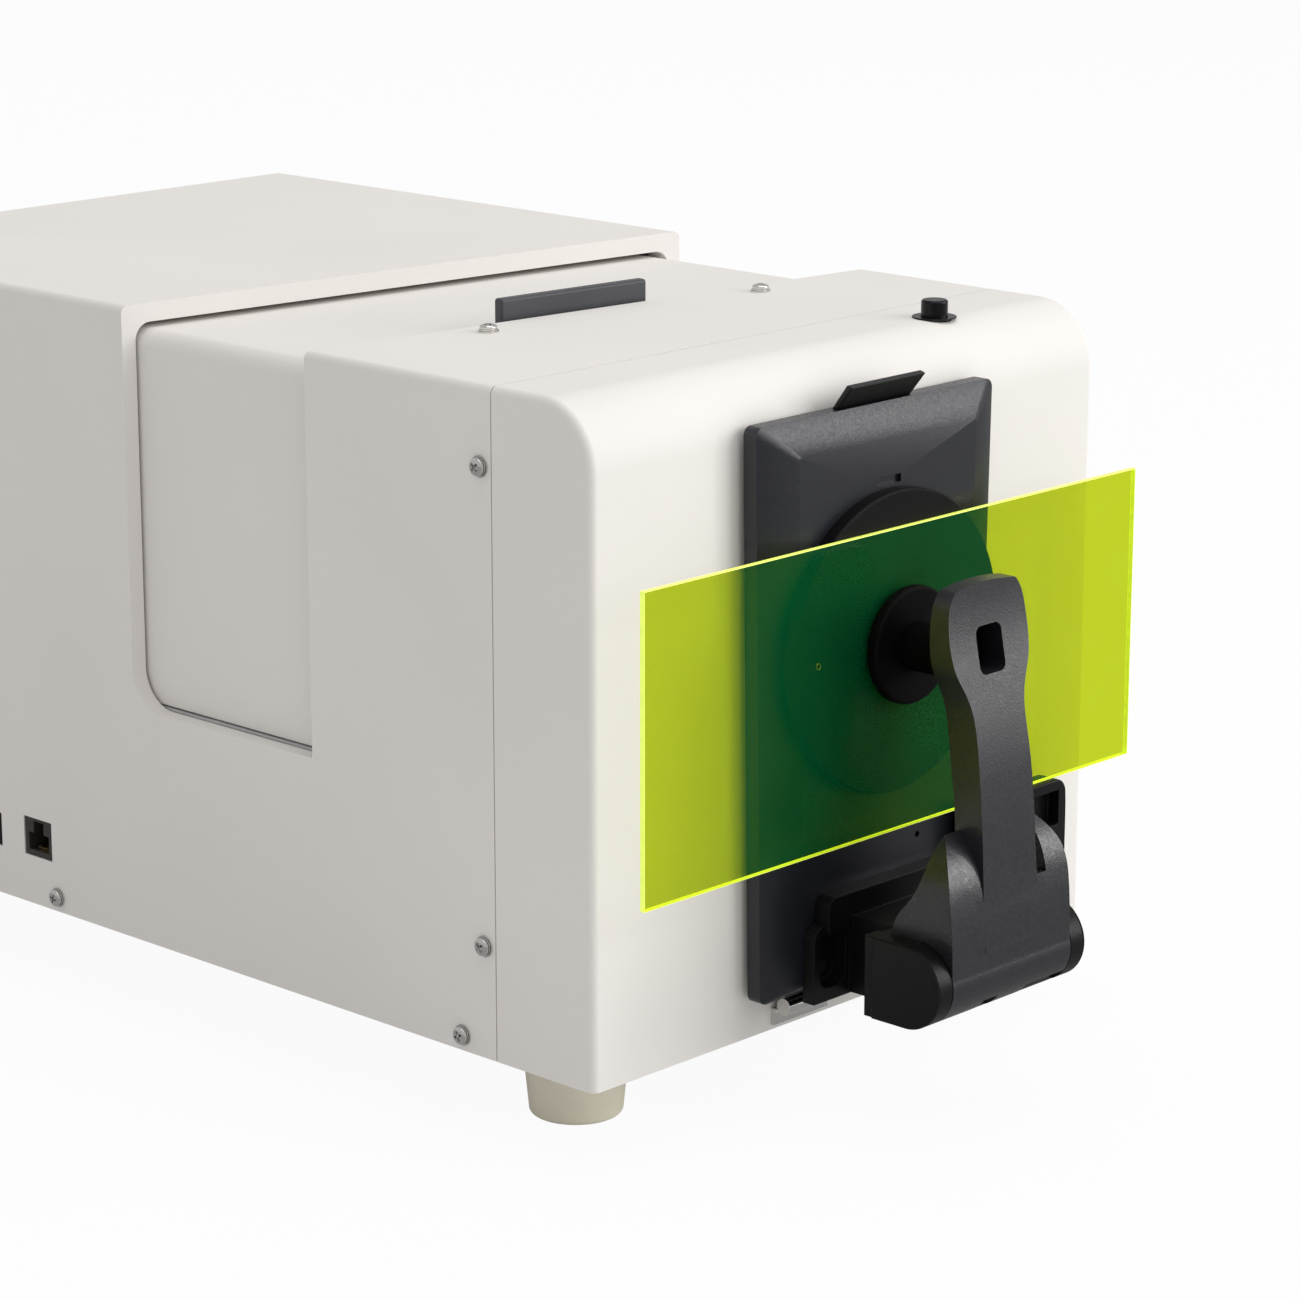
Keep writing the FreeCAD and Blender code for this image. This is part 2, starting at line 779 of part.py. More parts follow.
def make_sphere():
    ball = Part.makeSphere(sphere_radius, sphere_centre)
    flange = rod(sphere_flange_radius, sphere_centre - Vector(0, sphere_flange_wall, 0),
                 sphere_centre + Vector(0, sphere_flange_wall, 0))
    hollow = Part.makeSphere(sphere_radius - sphere_wall, sphere_centre)
    front_port = rod(port_bore_radius, Vector(0, 0, axis_z), sphere_centre)
    lamp_port = rod(lamp_tube_radius + lamp_port_gap, sphere_centre,
                    sphere_centre + Vector(0, 0, 2 * sphere_radius))
    reading_port = rod(reading_port_radius, axis_point(sphere_y), axis_point(sphere_y + 2 * sphere_radius))
    body = ball.fuse(flange).cut([hollow, front_port, lamp_port, reading_port])
    reach = 2 * sphere_radius
    front = box(-reach, reach, sphere_y - reach, sphere_y, axis_z - reach, axis_z + reach)
    back = box(-reach, reach, sphere_y, sphere_y + reach, axis_z - reach, axis_z + reach)
    keep("sphere_front_half", body.common(front))
    keep("sphere_rear_half", body.common(back))

    tube = ring(port_tube_radius, port_bore_radius, Vector(0, door_back_y + cover_fit, axis_z),
                Vector(0, sphere_y - sphere_radius / 2, axis_z)).cut(ball)
    keep("port_tube", tube)

    cradle = box(-cradle_width / 2, cradle_width / 2, sphere_y - 2 * sphere_flange_wall,
                 sphere_y + 2 * sphere_flange_wall, pan_top_z, axis_z - sphere_flange_radius * cradle_share)
    keep("sphere_cradle", cradle.cut([flange, ball]))

    lamp_low = axis_z + sphere_radius - lamp_box_skirt
    lamp_top = axis_z + sphere_radius + lamp_box_rise
    lamp_y = sphere_y
    housing = box(-lamp_box_width / 2, lamp_box_width / 2, lamp_y - lamp_box_depth / 2,
                  lamp_y + lamp_box_depth / 2, lamp_low, lamp_top)
    ends = lamp_box_width / 2 - lamp_box_end
    sides = lamp_box_depth / 2 - lamp_box_wall
    hollow_low = axis_z + sphere_flange_radius + lamp_box_wall
    hollow_box = box(-ends, ends, lamp_y - sides, lamp_y + sides, hollow_low, lamp_top - lamp_box_wall)
    lamp_z = lamp_top - lamp_box_wall - lamp_tube_radius - lamp_headroom
    throat = rod(lamp_tube_radius + lamp_port_gap, sphere_centre, Vector(0, lamp_y, lamp_z))
    lamp = rod(lamp_tube_radius, Vector(-lamp_tube_length / 2, lamp_y, lamp_z),
               Vector(lamp_tube_length / 2, lamp_y, lamp_z))
    keep("flash_lamp", lamp)
    holders = []
    for side in (-1, 1):
        first, last = sorted((side * lamp_tube_length / 2, side * ends))
        holders.append(box(first, last, lamp_y - holder_half, lamp_y + holder_half,
                           lamp_z - holder_half, lamp_z + holder_half))
    housing = housing.cut([hollow_box, ball, flange, throat])
    keep("lamp_housing", housing.fuse(holders).removeSplitter())


# port door

def door_outline(half_low, half_high, low, high, y):
    return [Vector(-half_low, y, floor_z + low), Vector(half_low, y, floor_z + low),
            Vector(half_high, y, floor_z + high), Vector(-half_high, y, floor_z + high)]


def make_door():
    outline = door_outline(door_half_bottom, door_half_top, door_bottom, door_top, door_back_y)
    rim = rounded_prism(outline, door_corner_radius, Vector(0, -door_rim, 0))
    base = rounded_wire(door_outline(door_half_bottom, door_half_top, door_bottom, door_top, door_rim_y),
                        door_corner_radius)
    face = rounded_wire(door_outline(low_face_half, face_half, face_bottom, face_top, face_y),
                        door_corner_radius / 2)
    bevel = Part.makeLoft([base, face], True, True)
    pocket_back = door_outline(low_face_half - door_wall, face_half - door_wall, face_bottom + door_rib,
                               face_top - door_rib, door_back_y)
    pocket = prism(pocket_back, Vector(0, face_y + door_wall - door_back_y, 0))
    spigot_hole = rod(mask_spigot_radius + mask_fit, Vector(0, mask_y, axis_z), Vector(0, 0, axis_z))
    notch_low = axis_z + mask_radius + notch_above_mask
    notch = box(-notch_width / 2, notch_width / 2, mask_y, face_y + notch_depth,
                notch_low, notch_low + notch_height)
    sight_z = floor_z + sight_hole_height
    sight_hole = rod(sight_hole_radius, Vector(sight_hole_x, mask_y, sight_z),
                     Vector(sight_hole_x, door_back_y, sight_z))
    door = rim.fuse(bevel).cut([pocket, spigot_hole, notch, sight_hole]).removeSplitter()
    keep("port_door", door)

    tab_root = floor_z + door_top
    tab_back = (door_back_y + door_rim_y) / 2 + tab_wall / 2
    profile = [Vector(-tab_width / 2, tab_back, tab_root),
               Vector(-tab_width / 2, tab_back - tab_lean, tab_root + tab_rise),
               Vector(-tab_width / 2, tab_back - tab_lean - tab_wall, tab_root + tab_rise - tab_edge_drop),
               Vector(-tab_width / 2, tab_back - tab_wall, tab_root)]
    keep("finger_tab", prism(profile, Vector(tab_width, 0, 0)))

    disc = rod(mask_radius, Vector(0, mask_y, axis_z), Vector(0, face_y, axis_z))
    disc = disc.makeFillet(mask_edge_radius, circles(disc, lambda centre: centre.y < face_y - pick_margin))
    spigot_back = door_back_y - spigot_setback
    spigot = rod(mask_spigot_radius, Vector(0, face_y, axis_z), Vector(0, spigot_back, axis_z))
    bore = Part.makeCone(mask_aperture_radius, port_bore_radius, spigot_back - mask_y,
                         Vector(0, mask_y, axis_z), Vector(0, 1, 0))
    keep("target_mask", disc.fuse(spigot).cut(bore).removeSplitter())


def make_hinge_base():
    half = low_face_half
    low = floor_z + door_bottom - base_overhang
    plate_front = face_y - base_plate_depth
    plate = box(-half, half, plate_front, face_y, low, floor_z + base_plate_top)
    side_edges = edges_along(plate, Vector(0, 1, 0), lambda p: p.z > low + pick_margin)
    plate = plate.makeFillet(base_corner_radius, side_edges)
    shelf = box(-shelf_half, shelf_half, face_y - shelf_depth, face_y,
                floor_z + shelf_bottom, floor_z + shelf_top)
    shelf_corners = edges_along(shelf, Vector(0, 1, 0), lambda p: p.z > floor_z + shelf_top - pick_margin)
    shelf = shelf.makeFillet(shelf_corner_radius, shelf_corners)
    inner = arm_half + knuckle_gap
    outer = inner + knuckle_wall
    bearing_front = arm_axis_y + bearing_back
    knuckle_low, knuckle_top = arm_z - arm_barrel_radius, arm_z + arm_barrel_radius
    bearing_top = knuckle_top - bearing_drop

    def cheek(first, last, front, back, top):
        return box(min(first, last), max(first, last), front, back, knuckle_low, top)

    def across(radius, first, last):
        return rod(radius, Vector(first, arm_axis_y, arm_z), Vector(last, arm_axis_y, arm_z))

    solids = [shelf, cheek(-bearing_half, bearing_half, bearing_front, plate_front, bearing_top),
              cheek(-outer, outer, bearing_front, bearing_front + beam_wall, bearing_top)]
    caps = []
    for side in (-1, 1):
        first, last, end = side * inner, side * outer, side * (outer + cap_wall)
        solids.append(across(arm_barrel_radius, first, last))
        solids.append(cheek(first, last, arm_axis_y, bearing_front + beam_wall, knuckle_top))
        cap_back = cheek(last, end, arm_axis_y, bearing_front, knuckle_top)
        caps.append(across(arm_barrel_radius, last, end).fuse(cap_back).removeSplitter())
    cuts = [across(arm_pin_radius, -outer, outer)]
    pocket_low = low + pocket_rise
    hole_z = pocket_low + pocket_hole_radius + pocket_hole_rise
    for side in (-1, 1):
        centre = side * (half - pocket_margin - pocket_width / 2)
        pocket = box(centre - pocket_width / 2, centre + pocket_width / 2, plate_front,
                     plate_front + pocket_depth, pocket_low, pocket_low + pocket_height)
        cuts.append(pocket.makeFillet(pocket_radius, edges_along(pocket, Vector(0, 1, 0), lambda p: True)))
        cuts.append(rod(pocket_hole_radius, Vector(centre, plate_front, hole_z),
                        Vector(centre, face_y, hole_z)))
    keep("hinge_base", plate.fuse(solids).cut(cuts).removeSplitter())
    keep("arm_pin", across(arm_pin_radius, -outer, outer))
    keep("knuckle_caps", Part.makeCompound(caps))


def interpolated(points):
    curve = Part.BSplineCurve()
    curve.interpolate(points)
    return curve.toShape()


def make_arm():
    reach = arm_half + knuckle_wall
    ahead = 2 * arm_front_y

    def side_point(pair, base):
        return Vector(-reach, pair[0], base + pair[1])

    def front_point(pair, base, side=1):
        return Vector(side * pair[0], ahead, base + pair[1])

    def side_block(front_line, back_line, base):
        front = [side_point(pair, base) for pair in front_line]
        back = [side_point(pair, base) for pair in back_line]
        edges = [interpolated(front), interpolated(back), Part.makeLine(back[-1], front[0])]
        if (front[-1] - back[0]).Length > hinge_fit:
            edges.insert(1, Part.makeLine(front[-1], back[0]))
        return Part.Face(Part.Wire(edges)).extrude(Vector(2 * reach, 0, 0))

    def front_block(half_line, base, crown, low):
        right = [front_point(pair, base) for pair in half_line]
        left = [front_point(pair, base, -1) for pair in reversed(half_line)]
        feet = [Vector(left[-1].x, ahead, low), Vector(right[0].x, ahead, low)]
        edges = [interpolated(right), Part.Arc(right[-1], Vector(0, ahead, crown), left[0]).toShape(),
                 interpolated(left), Part.makeLine(left[-1], feet[0]), Part.makeLine(feet[0], feet[1]),
                 Part.makeLine(feet[1], right[0])]
        return Part.Face(Part.Wire(edges)).extrude(Vector(0, -ahead, 0))

    side_solid = side_block(neck_front_line, neck_back_line, axis_z)
    neck = front_block(neck_half_line, axis_z, axis_z + head_above_axis, 0).common(side_solid)
    skirt = side_block(skirt_front_line, skirt_back_line, arm_z)
    skirt_crown = arm_z + skirt_half_line[-1][1] + hinge_fit
    skirt = skirt.common(front_block(skirt_half_line, arm_z, skirt_crown, 0))
    skirt = skirt.common(box(-arm_half, arm_half, ahead, 0, 0, rear_top_z))

    def across(radius, half):
        return rod(radius, Vector(-half, arm_axis_y, arm_z), Vector(half, arm_axis_y, arm_z))

    body = neck.fuse([skirt, across(arm_barrel_radius, arm_half)])

    inside = arm_half - skirt_hollow_wall
    hollow = box(-inside, inside, skirt_hollow_front, 0,
                 arm_z + skirt_hollow_rise, arm_z + skirt_hollow_top)
    pin_hole = across(arm_pin_radius + hinge_fit, reach)
    spring_half = spring_pitch * spring_turns / 2
    spring_well = across(spring_well_radius, spring_half + spring_wire_radius + spring_well_margin)
    grip_z = axis_z + grip_above_axis
    grip_half = grip_width / 2
    grip = box(-grip_half, grip_half, ahead, 0, grip_z - grip_height / 2, grip_z + grip_height / 2)
    grip = grip.makeFillet(grip_radius, edges_along(grip, Vector(0, 1, 0), lambda p: True))
    slot_left = neck_half + slot_inset
    slot_low = arm_z + slot_rise
    slot = box(slot_left, slot_left + slot_width, ahead, arm_axis_y, slot_low, slot_low + slot_height)
    notches = [box(first, last, ahead, arm_axis_y - notch_front, 0, arm_z - notch_drop)
               for first, last in skirt_notches]
    keep("specimen_arm", body.cut([hollow, pin_hole, spring_well, grip, slot] + notches).removeSplitter())

    coil_radius = arm_pin_radius + spring_pin_gap + spring_wire_radius
    path = Part.makeHelix(spring_pitch, spring_pitch * spring_turns, coil_radius)
    section = Part.Wire(Part.makeCircle(spring_wire_radius, Vector(coil_radius, 0, 0), Vector(0, 1, 0)))
    spring = Part.Wire(path.Edges).makePipeShell([section], True, False)
    spring.rotate(Vector(), Vector(0, 1, 0), 90)
    spring.translate(Vector(-spring_half, arm_axis_y, arm_z))
    keep("arm_spring", spring)

    pad = rod(pad_radius, Vector(0, pad_front_y, axis_z), Vector(0, pad_back_y, axis_z))
    pad_rim = circles(pad, lambda centre: centre.y < pad_back_y - pad_thickness / 2)
    pad = pad.makeFillet(pad_edge_radius, pad_rim)
    contact_rim = circles(pad, lambda centre: centre.y > pad_back_y - pad_thickness / 4)
    keep("specimen_pad", pad.makeFillet(pad_contact_radius, contact_rim))
    stem = rod(stem_radius, Vector(0, arm_axis_y, axis_z), Vector(0, pad_front_y, axis_z))
    backing_half = grip_half + backing_margin
    backing_rise = grip_height / 2 + backing_margin
    backing = box(-backing_half, backing_half, arm_axis_y, backing_back_y,
                  grip_z - backing_rise, grip_z + backing_rise)
    stem_solid = stem.fuse(backing).cut(side_solid)
    keep("pad_stem", max(stem_solid.Solids, key=lambda solid: solid.CenterOfMass.y))


def make_sample():
    low = axis_z - plate_below_axis
    plate = box(-plate_length / 2, plate_length / 2, plate_front_y, plate_back_y, low, low + plate_height)
    keep("sample_plate", plate.makeFillet(plate_edge_radius, plate.Edges))
    top = low - plate_gap
    front = plate_front_y - rest_proud
    rest = box(shelf_half + rest_gap, rest_right, front, face_y, top - rest_height, top)
    rest = rest.makeFillet(rest_radius, edges_along(rest, Vector(0, 1, 0),
                                                    lambda p: p.x > rest_right - pick_margin
                                                    and p.z > top - pick_margin))
    pocket_right, pocket_top = rest_right - rest_pocket_margin, top - rest_pocket_margin
    pocket = box(pocket_right - rest_pocket_width, pocket_right, front - rest_gap, front + rest_pocket_depth,
                 pocket_top - rest_pocket_height, pocket_top)
    base_clear = box(0, low_face_half + rest_gap, 2 * front, 0, 0, arm_z + arm_barrel_radius + rest_gap)
    keep("sample_rest", rest.cut([pocket, base_clear]))


def make_door_hinge():
    def along(radius, first, last):
        return rod(radius, Vector(first, door_hinge_y, hinge_z), Vector(last, door_hinge_y, hinge_z))

    third = 2 * door_hinge_half / 3
    inner, outer = third / 2, door_hinge_half
    leaf_low = hinge_z - door_barrel_radius
    leaf_top = leaf_low + door_leaf_wall
    pin = along(door_pin_radius, -outer, outer)
    leaves = []
    for first, last in ((-outer, -inner - leaf_gap), (inner + leaf_gap, outer)):
        strap = box(first, last, door_hinge_y, 0, leaf_low, leaf_top)
        plate = box(first, last, -door_leaf_wall, 0, leaf_top - leaf_height, leaf_top)
        leaf = along(door_barrel_radius, first, last).fuse([strap, plate])
        leaves.append(leaf.cut(pin).removeSplitter())
    web = box(-inner, inner, door_hinge_y - door_leaf_wall / 2, door_hinge_y + door_leaf_wall / 2,
              hinge_z, floor_z + door_bottom)
    knuckle = along(door_barrel_radius, -inner, inner).fuse(web)
    loose = along(door_pin_radius + hinge_fit, -outer, outer)
    keep("door_hinge_pin", pin)
    keep("door_hinge_leaf", Part.makeCompound(leaves))
    keep("door_hinge_knuckle", knuckle.cut(loose).removeSplitter())


# button

def make_button():
    top = front_top_z
    switch_top = top - collar_depth
    cap_low = switch_top + button_travel + button_rest_gap

    def upright(radius, low, high):
        return rod(radius, Vector(button_x, button_y, low), Vector(button_x, button_y, high))

    flange = upright(collar_radius, top, top + collar_rise)
    collar = upright(collar_radius - collar_wall, switch_top, top).fuse(flange)
    bore = upright(button_radius + button_fit, switch_top, top + collar_rise)
    keep("button_collar", collar.cut(bore).removeSplitter())
    cap = upright(button_radius, cap_low, top + button_rise)
    cap = cap.makeFillet(button_edge_radius, circles(cap, lambda centre: centre.z > top))
    stem = upright(button_stem_radius, switch_top - stem_entry, cap_low)
    keep("measure_button", cap.fuse(stem).removeSplitter())
    half = switch_size / 2
    body = box(button_x - half, button_x + half, button_y - half, button_y + half,
               switch_top - switch_size, switch_top)
    well = upright(button_stem_radius + button_fit, switch_top - 2 * stem_entry - button_travel, switch_top)
    keep("button_switch", body.cut(well))


# sockets and rear fittings

def make_socket(name, y, width, height, cavity_height, key_width):
    low = floor_z + socket_bottom
    outer = -half_width + socket_recess
    back = outer + socket_depth
    body = box(outer, back, y - width / 2, y + width / 2, low, low + height)
    mouth = width / 2 - socket_wall
    cavity_low = low + socket_wall
    cavity = box(outer, back - socket_back_wall, y - mouth, y + mouth, cavity_low, cavity_low + cavity_height)
    key = box(outer, back - socket_back_wall, y - key_width / 2, y + key_width / 2,
              cavity_low, low + height - socket_key_wall)
    keep(name, body.cut([cavity, key]).removeSplitter())


def make_rear():
    top = rear_top_z - cover_wall - cover_fit
    inner_y = body_depth - rear_panel_wall
    fitting_z = floor_z + inlet_z

    def fitting(x, half_w, half_h, y0, y1):
        return box(x - half_w, x + half_w, y0, y1, fitting_z - half_h, fitting_z + half_h)

    inlet_w, inlet_h = inlet_width / 2, inlet_height / 2
    frame_w, frame_h = rocker_width / 2 + inlet_wall, rocker_height / 2 + inlet_wall
    panel = rounded_cover(inner_half, top, inner_y, body_depth, cover_edge_radius - cover_wall, floor_z)
    cuts = [fitting(inlet_x, inlet_w + cover_fit, inlet_h + cover_fit, inner_y, body_depth),
            fitting(switch_x, frame_w, frame_h, inner_y, body_depth)]
    for i in range(vent_count):
        x = vent_x + (i - (vent_count - 1) / 2) * vent_pitch
        vent = box(x - vent_width / 2, x + vent_width / 2, inner_y, body_depth,
                   floor_z + vent_z - vent_height / 2, floor_z + vent_z + vent_height / 2)
        cuts.append(vent.makeFillet(vent_radius, edges_along(vent, Vector(0, 1, 0), lambda p: True)))
    keep("rear_panel", screw_holes(panel.cut(cuts), rear_screw_places()))

    inlet_front, flange_y = body_depth - inlet_depth, body_depth + inlet_flange_wall
    inlet = fitting(inlet_x, inlet_w, inlet_h, inlet_front, body_depth)
    flange = fitting(inlet_x, inlet_w + inlet_flange, inlet_h + inlet_flange / 2, body_depth, flange_y)
    cavity = fitting(inlet_x, inlet_w - inlet_wall, inlet_h - inlet_wall,
                     inlet_front + inlet_back_wall, flange_y)
    pins = []
    for step, rise in ((-1, -inlet_pin_offset), (0, inlet_pin_offset), (1, -inlet_pin_offset)):
        pin = fitting(inlet_x + step * inlet_pin_spacing, inlet_pin_width / 2, inlet_pin_height / 2,
                      inlet_front, body_depth - inlet_pin_setback)
        pin.translate(Vector(0, 0, rise))
        pins.append(pin)
    keep("mains_inlet", inlet.fuse(flange).cut([cavity] + pins).removeSplitter())
    keep("inlet_pins", Part.makeCompound(pins))

    well_front, bezel_y = body_depth - switch_depth + inlet_wall, body_depth + bezel_wall
    frame = fitting(switch_x, frame_w, frame_h, body_depth - switch_depth, body_depth)
    bezel = fitting(switch_x, frame_w + bezel_margin, frame_h + bezel_margin, body_depth, bezel_y)
    well = fitting(switch_x, rocker_width / 2 + rocker_gap, rocker_height / 2 + rocker_gap,
                   well_front, bezel_y)
    axle_y = body_depth - axle_setback

    def axle(radius, half):
        return rod(radius, Vector(switch_x - half, axle_y, fitting_z),
                   Vector(switch_x + half, axle_y, fitting_z))

    keep("power_switch", frame.fuse(bezel).cut([well, axle(axle_radius, frame_w)]).removeSplitter())
    tilt = math.radians(rocker_angle)
    reach = rocker_height / 2 - rocker_end_gap
    rise, run = reach * math.cos(tilt), reach * math.sin(tilt)
    lines = ((-rocker_root, -rocker_root_half), (run + rocker_edge, -rise), (rocker_ridge, 0),
             (-run + rocker_edge, rise), (-rocker_root, rocker_root_half))
    profile = [Vector(switch_x - rocker_width / 2, axle_y + dy, fitting_z + dz) for dy, dz in lines]
    rocker = prism(profile, Vector(rocker_width, 0, 0))
    stub = axle(axle_radius - hinge_fit, frame_w - rocker_gap)
    keep("power_rocker", rocker.fuse(stub).removeSplitter())


# electronics and spectrograph

def make_boards():
    board_top = floor_z + socket_bottom
    board_low = board_top - board_wall
    left = -inner_half + pan_wall + board_side_gap
    right = middle_post_x - post_radius - board_post_gap
    back = body_depth - board_rear_gap
    keep("main_board", box(left, right, board_front, back, board_low, board_top))
    posts = []
    for x in (left + standoff_inset, right - standoff_inset):
        for y in (board_front + standoff_inset, back - standoff_inset):
            posts.append(rod(standoff_radius, Vector(x, y, pan_top_z), Vector(x, y, board_low)))
    keep("board_standoffs", Part.makeCompound(posts))

    supply_left = middle_post_x + post_radius + supply_left_gap
    supply_right = side_post_x - post_radius - supply_post_gap
    lamp_back = board_front + lamp_supply_length
    keep("power_supply", box(supply_left, supply_right, lamp_back + supply_gap,
                             body_depth - rear_panel_wall - supply_rear_gap,
                             pan_top_z, pan_top_z + supply_height))
    keep("lamp_supply", box(supply_left + lamp_supply_inset, supply_right - lamp_supply_inset, board_front,
                            lamp_back, pan_top_z, pan_top_z + lamp_supply_height))
    middle = Vector((supply_left + supply_right) / 2, (board_front + lamp_back) / 2,
                    pan_top_z + lamp_supply_height + capacitor_radius)
    reach = Vector((supply_right - supply_left) * capacitor_share / 2, 0, 0)
    keep("flash_capacitor", rod(capacitor_radius, middle - reach, middle + reach))


def make_spectrograph():
    x0, x1 = case_left, bulkhead_half - case_side_gap
    y0, y1 = chamber_front_mid + chamber_length + case_front_gap, deck_back - case_rear_gap
    z0, z1 = deck_top_z, axis_z + objective_radius + case_headroom
    case = box(x0, x1, y0, y1, z0, z1)
    inside = box(x0 + case_wall, x1 - case_wall, y0 + case_wall, y1 - case_wall, z0 + case_wall, z1)
    barrel_front = axis_cross(chamber_front_left + chamber_length + bulkhead_setback + plate_wall)
    barrel_length = (y0 + case_wall - barrel_front) / tilt_cos
    barrel = tilted_disc(objective_radius, barrel_length, barrel_front)
    bore = tilted_disc(objective_radius - objective_wall, barrel_length, barrel_front)
    keep("spectrograph_case", case.cut([inside, barrel]))
    keep("spectrograph_lid", box(x0, x1, y0, y1, z1, z1 + case_wall))
    keep("objective_barrel", barrel.cut(bore))
    lens_y = barrel_front + lens_inset
    keep("objective_lens", tilted_disc(objective_radius - objective_wall, lens_thickness, lens_y))
    grating_back = y1 - case_wall
    gx = x1 - case_wall - grating_radius - grating_gap
    gz = z0 + case_wall + grating_radius
    keep("grating", rod(grating_radius, Vector(gx, grating_back - grating_thickness, gz),
                        Vector(gx, grating_back, gz)))
    sensor_size = (y1 - y0) * sensor_share
    sensor_x, sensor_y, sensor_z = x0 + case_wall, (y0 + y1 - sensor_size) / 2, z0 + case_wall
    keep("sensor_array", box(sensor_x, sensor_x + sensor_wall, sensor_y, sensor_y + sensor_size,
                             sensor_z, sensor_z + sensor_size))


def make_screws():
    places = screw_places() + top_screw_places() + rear_screw_places()
    keep("cover_screws", Part.makeCompound([screw(place, out) for place, out in places]))


make_main_cover()
make_front_cover()
make_base_pan()
make_feet()
make_hood()
make_hood_handle()
make_rails()
make_deck()
make_bulkheads()
make_windows()
make_sphere()
make_door()
make_hinge_base()
make_arm()
make_sample()
make_door_hinge()
make_button()
make_socket("network_socket", socket_y, socket_width, socket_height, network_cavity, network_key_width)
make_socket("data_socket", socket_y + socket_pitch, second_socket_width, second_socket_height,
            data_cavity, data_key_width)
make_rear()
make_boards()
make_spectrograph()
make_screws()

os.makedirs("parts", exist_ok=True)
for name, shape in shapes.items():
    shape.translate(Vector(0, -mid_y, 0))
    shape.exportStep("parts/" + name + ".step")
    print(name, len(shape.Solids), "valid" if shape.isValid() else "INVALID", round(shape.Volume / 1000, 1))
print("nodes", len(shapes), "origin y", round(mid_y, 3))
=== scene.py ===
import json
import math

import bmesh
import bpy
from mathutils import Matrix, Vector


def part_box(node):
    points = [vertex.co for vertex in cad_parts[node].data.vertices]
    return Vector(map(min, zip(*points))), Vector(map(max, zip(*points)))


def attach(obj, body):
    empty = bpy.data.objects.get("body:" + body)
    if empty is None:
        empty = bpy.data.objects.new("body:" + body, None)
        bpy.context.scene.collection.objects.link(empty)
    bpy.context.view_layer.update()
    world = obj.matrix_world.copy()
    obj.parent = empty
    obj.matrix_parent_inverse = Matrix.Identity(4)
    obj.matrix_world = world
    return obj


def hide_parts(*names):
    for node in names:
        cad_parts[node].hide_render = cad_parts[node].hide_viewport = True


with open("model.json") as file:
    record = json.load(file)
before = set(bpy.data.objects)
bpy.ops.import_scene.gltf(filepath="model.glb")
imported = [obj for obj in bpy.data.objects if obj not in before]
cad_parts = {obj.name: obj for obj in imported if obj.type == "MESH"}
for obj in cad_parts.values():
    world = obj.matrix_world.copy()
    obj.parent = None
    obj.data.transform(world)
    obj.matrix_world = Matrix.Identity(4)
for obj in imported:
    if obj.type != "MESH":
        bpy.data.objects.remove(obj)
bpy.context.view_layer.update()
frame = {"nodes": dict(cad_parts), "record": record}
nodes = frame["nodes"]
bodyOf = {n: b for b, members in frame["record"]["behaviour"]["bodies"].items() for n in members}
slotOf = {s["node"]: s["material_slot"] for s in frame["record"]["subparts"]}
print("frame loaded,", len(nodes), "nodes")

midDepth = 192.75  # mm from the casing's front face to the middle of the model


def spot(x, y, z):
    # mm from the middle, from the front face and from the table, to metres
    return Vector((x / 1000, (y - midDepth) / 1000, z / 1000))


# finishes

def newFinish(name):
    finish = bpy.data.materials.new(name)
    finish.use_nodes = True
    tree = finish.node_tree
    return finish, tree, tree.nodes["Principled BSDF"]


def join(tree, source, output, target, socket):
    tree.links.new(source.outputs[output], target.inputs[socket])


def objectPlace(tree, scale=(1, 1, 1)):
    coords = tree.nodes.new("ShaderNodeTexCoord")
    mapping = tree.nodes.new("ShaderNodeMapping")
    mapping.inputs["Scale"].default_value = scale
    join(tree, coords, "Object", mapping, "Vector")
    return mapping


def noiseOn(tree, place, scale, detail=3.0, roughness=0.55):
    noise = tree.nodes.new("ShaderNodeTexNoise")
    noise.inputs["Scale"].default_value = scale
    noise.inputs["Detail"].default_value = detail
    noise.inputs["Roughness"].default_value = roughness
    join(tree, place, "Vector", noise, "Vector")
    return noise


def spread(tree, source, output, low, high, fromLow=0.3, fromHigh=0.7):
    ranged = tree.nodes.new("ShaderNodeMapRange")
    ranged.inputs["From Min"].default_value = fromLow
    ranged.inputs["From Max"].default_value = fromHigh
    ranged.inputs["To Min"].default_value = low
    ranged.inputs["To Max"].default_value = high
    join(tree, source, output, ranged, "Value")
    return ranged


def tintBetween(tree, source, output, first, second, low=0.3, high=0.7):
    ramp = tree.nodes.new("ShaderNodeValToRGB")
    ramp.color_ramp.elements[0].position = low
    ramp.color_ramp.elements[0].color = (*first, 1)
    ramp.color_ramp.elements[1].position = high
    ramp.color_ramp.elements[1].color = (*second, 1)
    join(tree, source, output, ramp, "Fac")
    return ramp


def bumpFrom(tree, source, output, strength, depth):
    bump = tree.nodes.new("ShaderNodeBump")
    bump.inputs["Strength"].default_value = strength
    bump.inputs["Distance"].default_value = depth
    join(tree, source, output, bump, "Height")
    return bump


def shaded(colour, factor):
    return tuple(c * factor for c in colour)


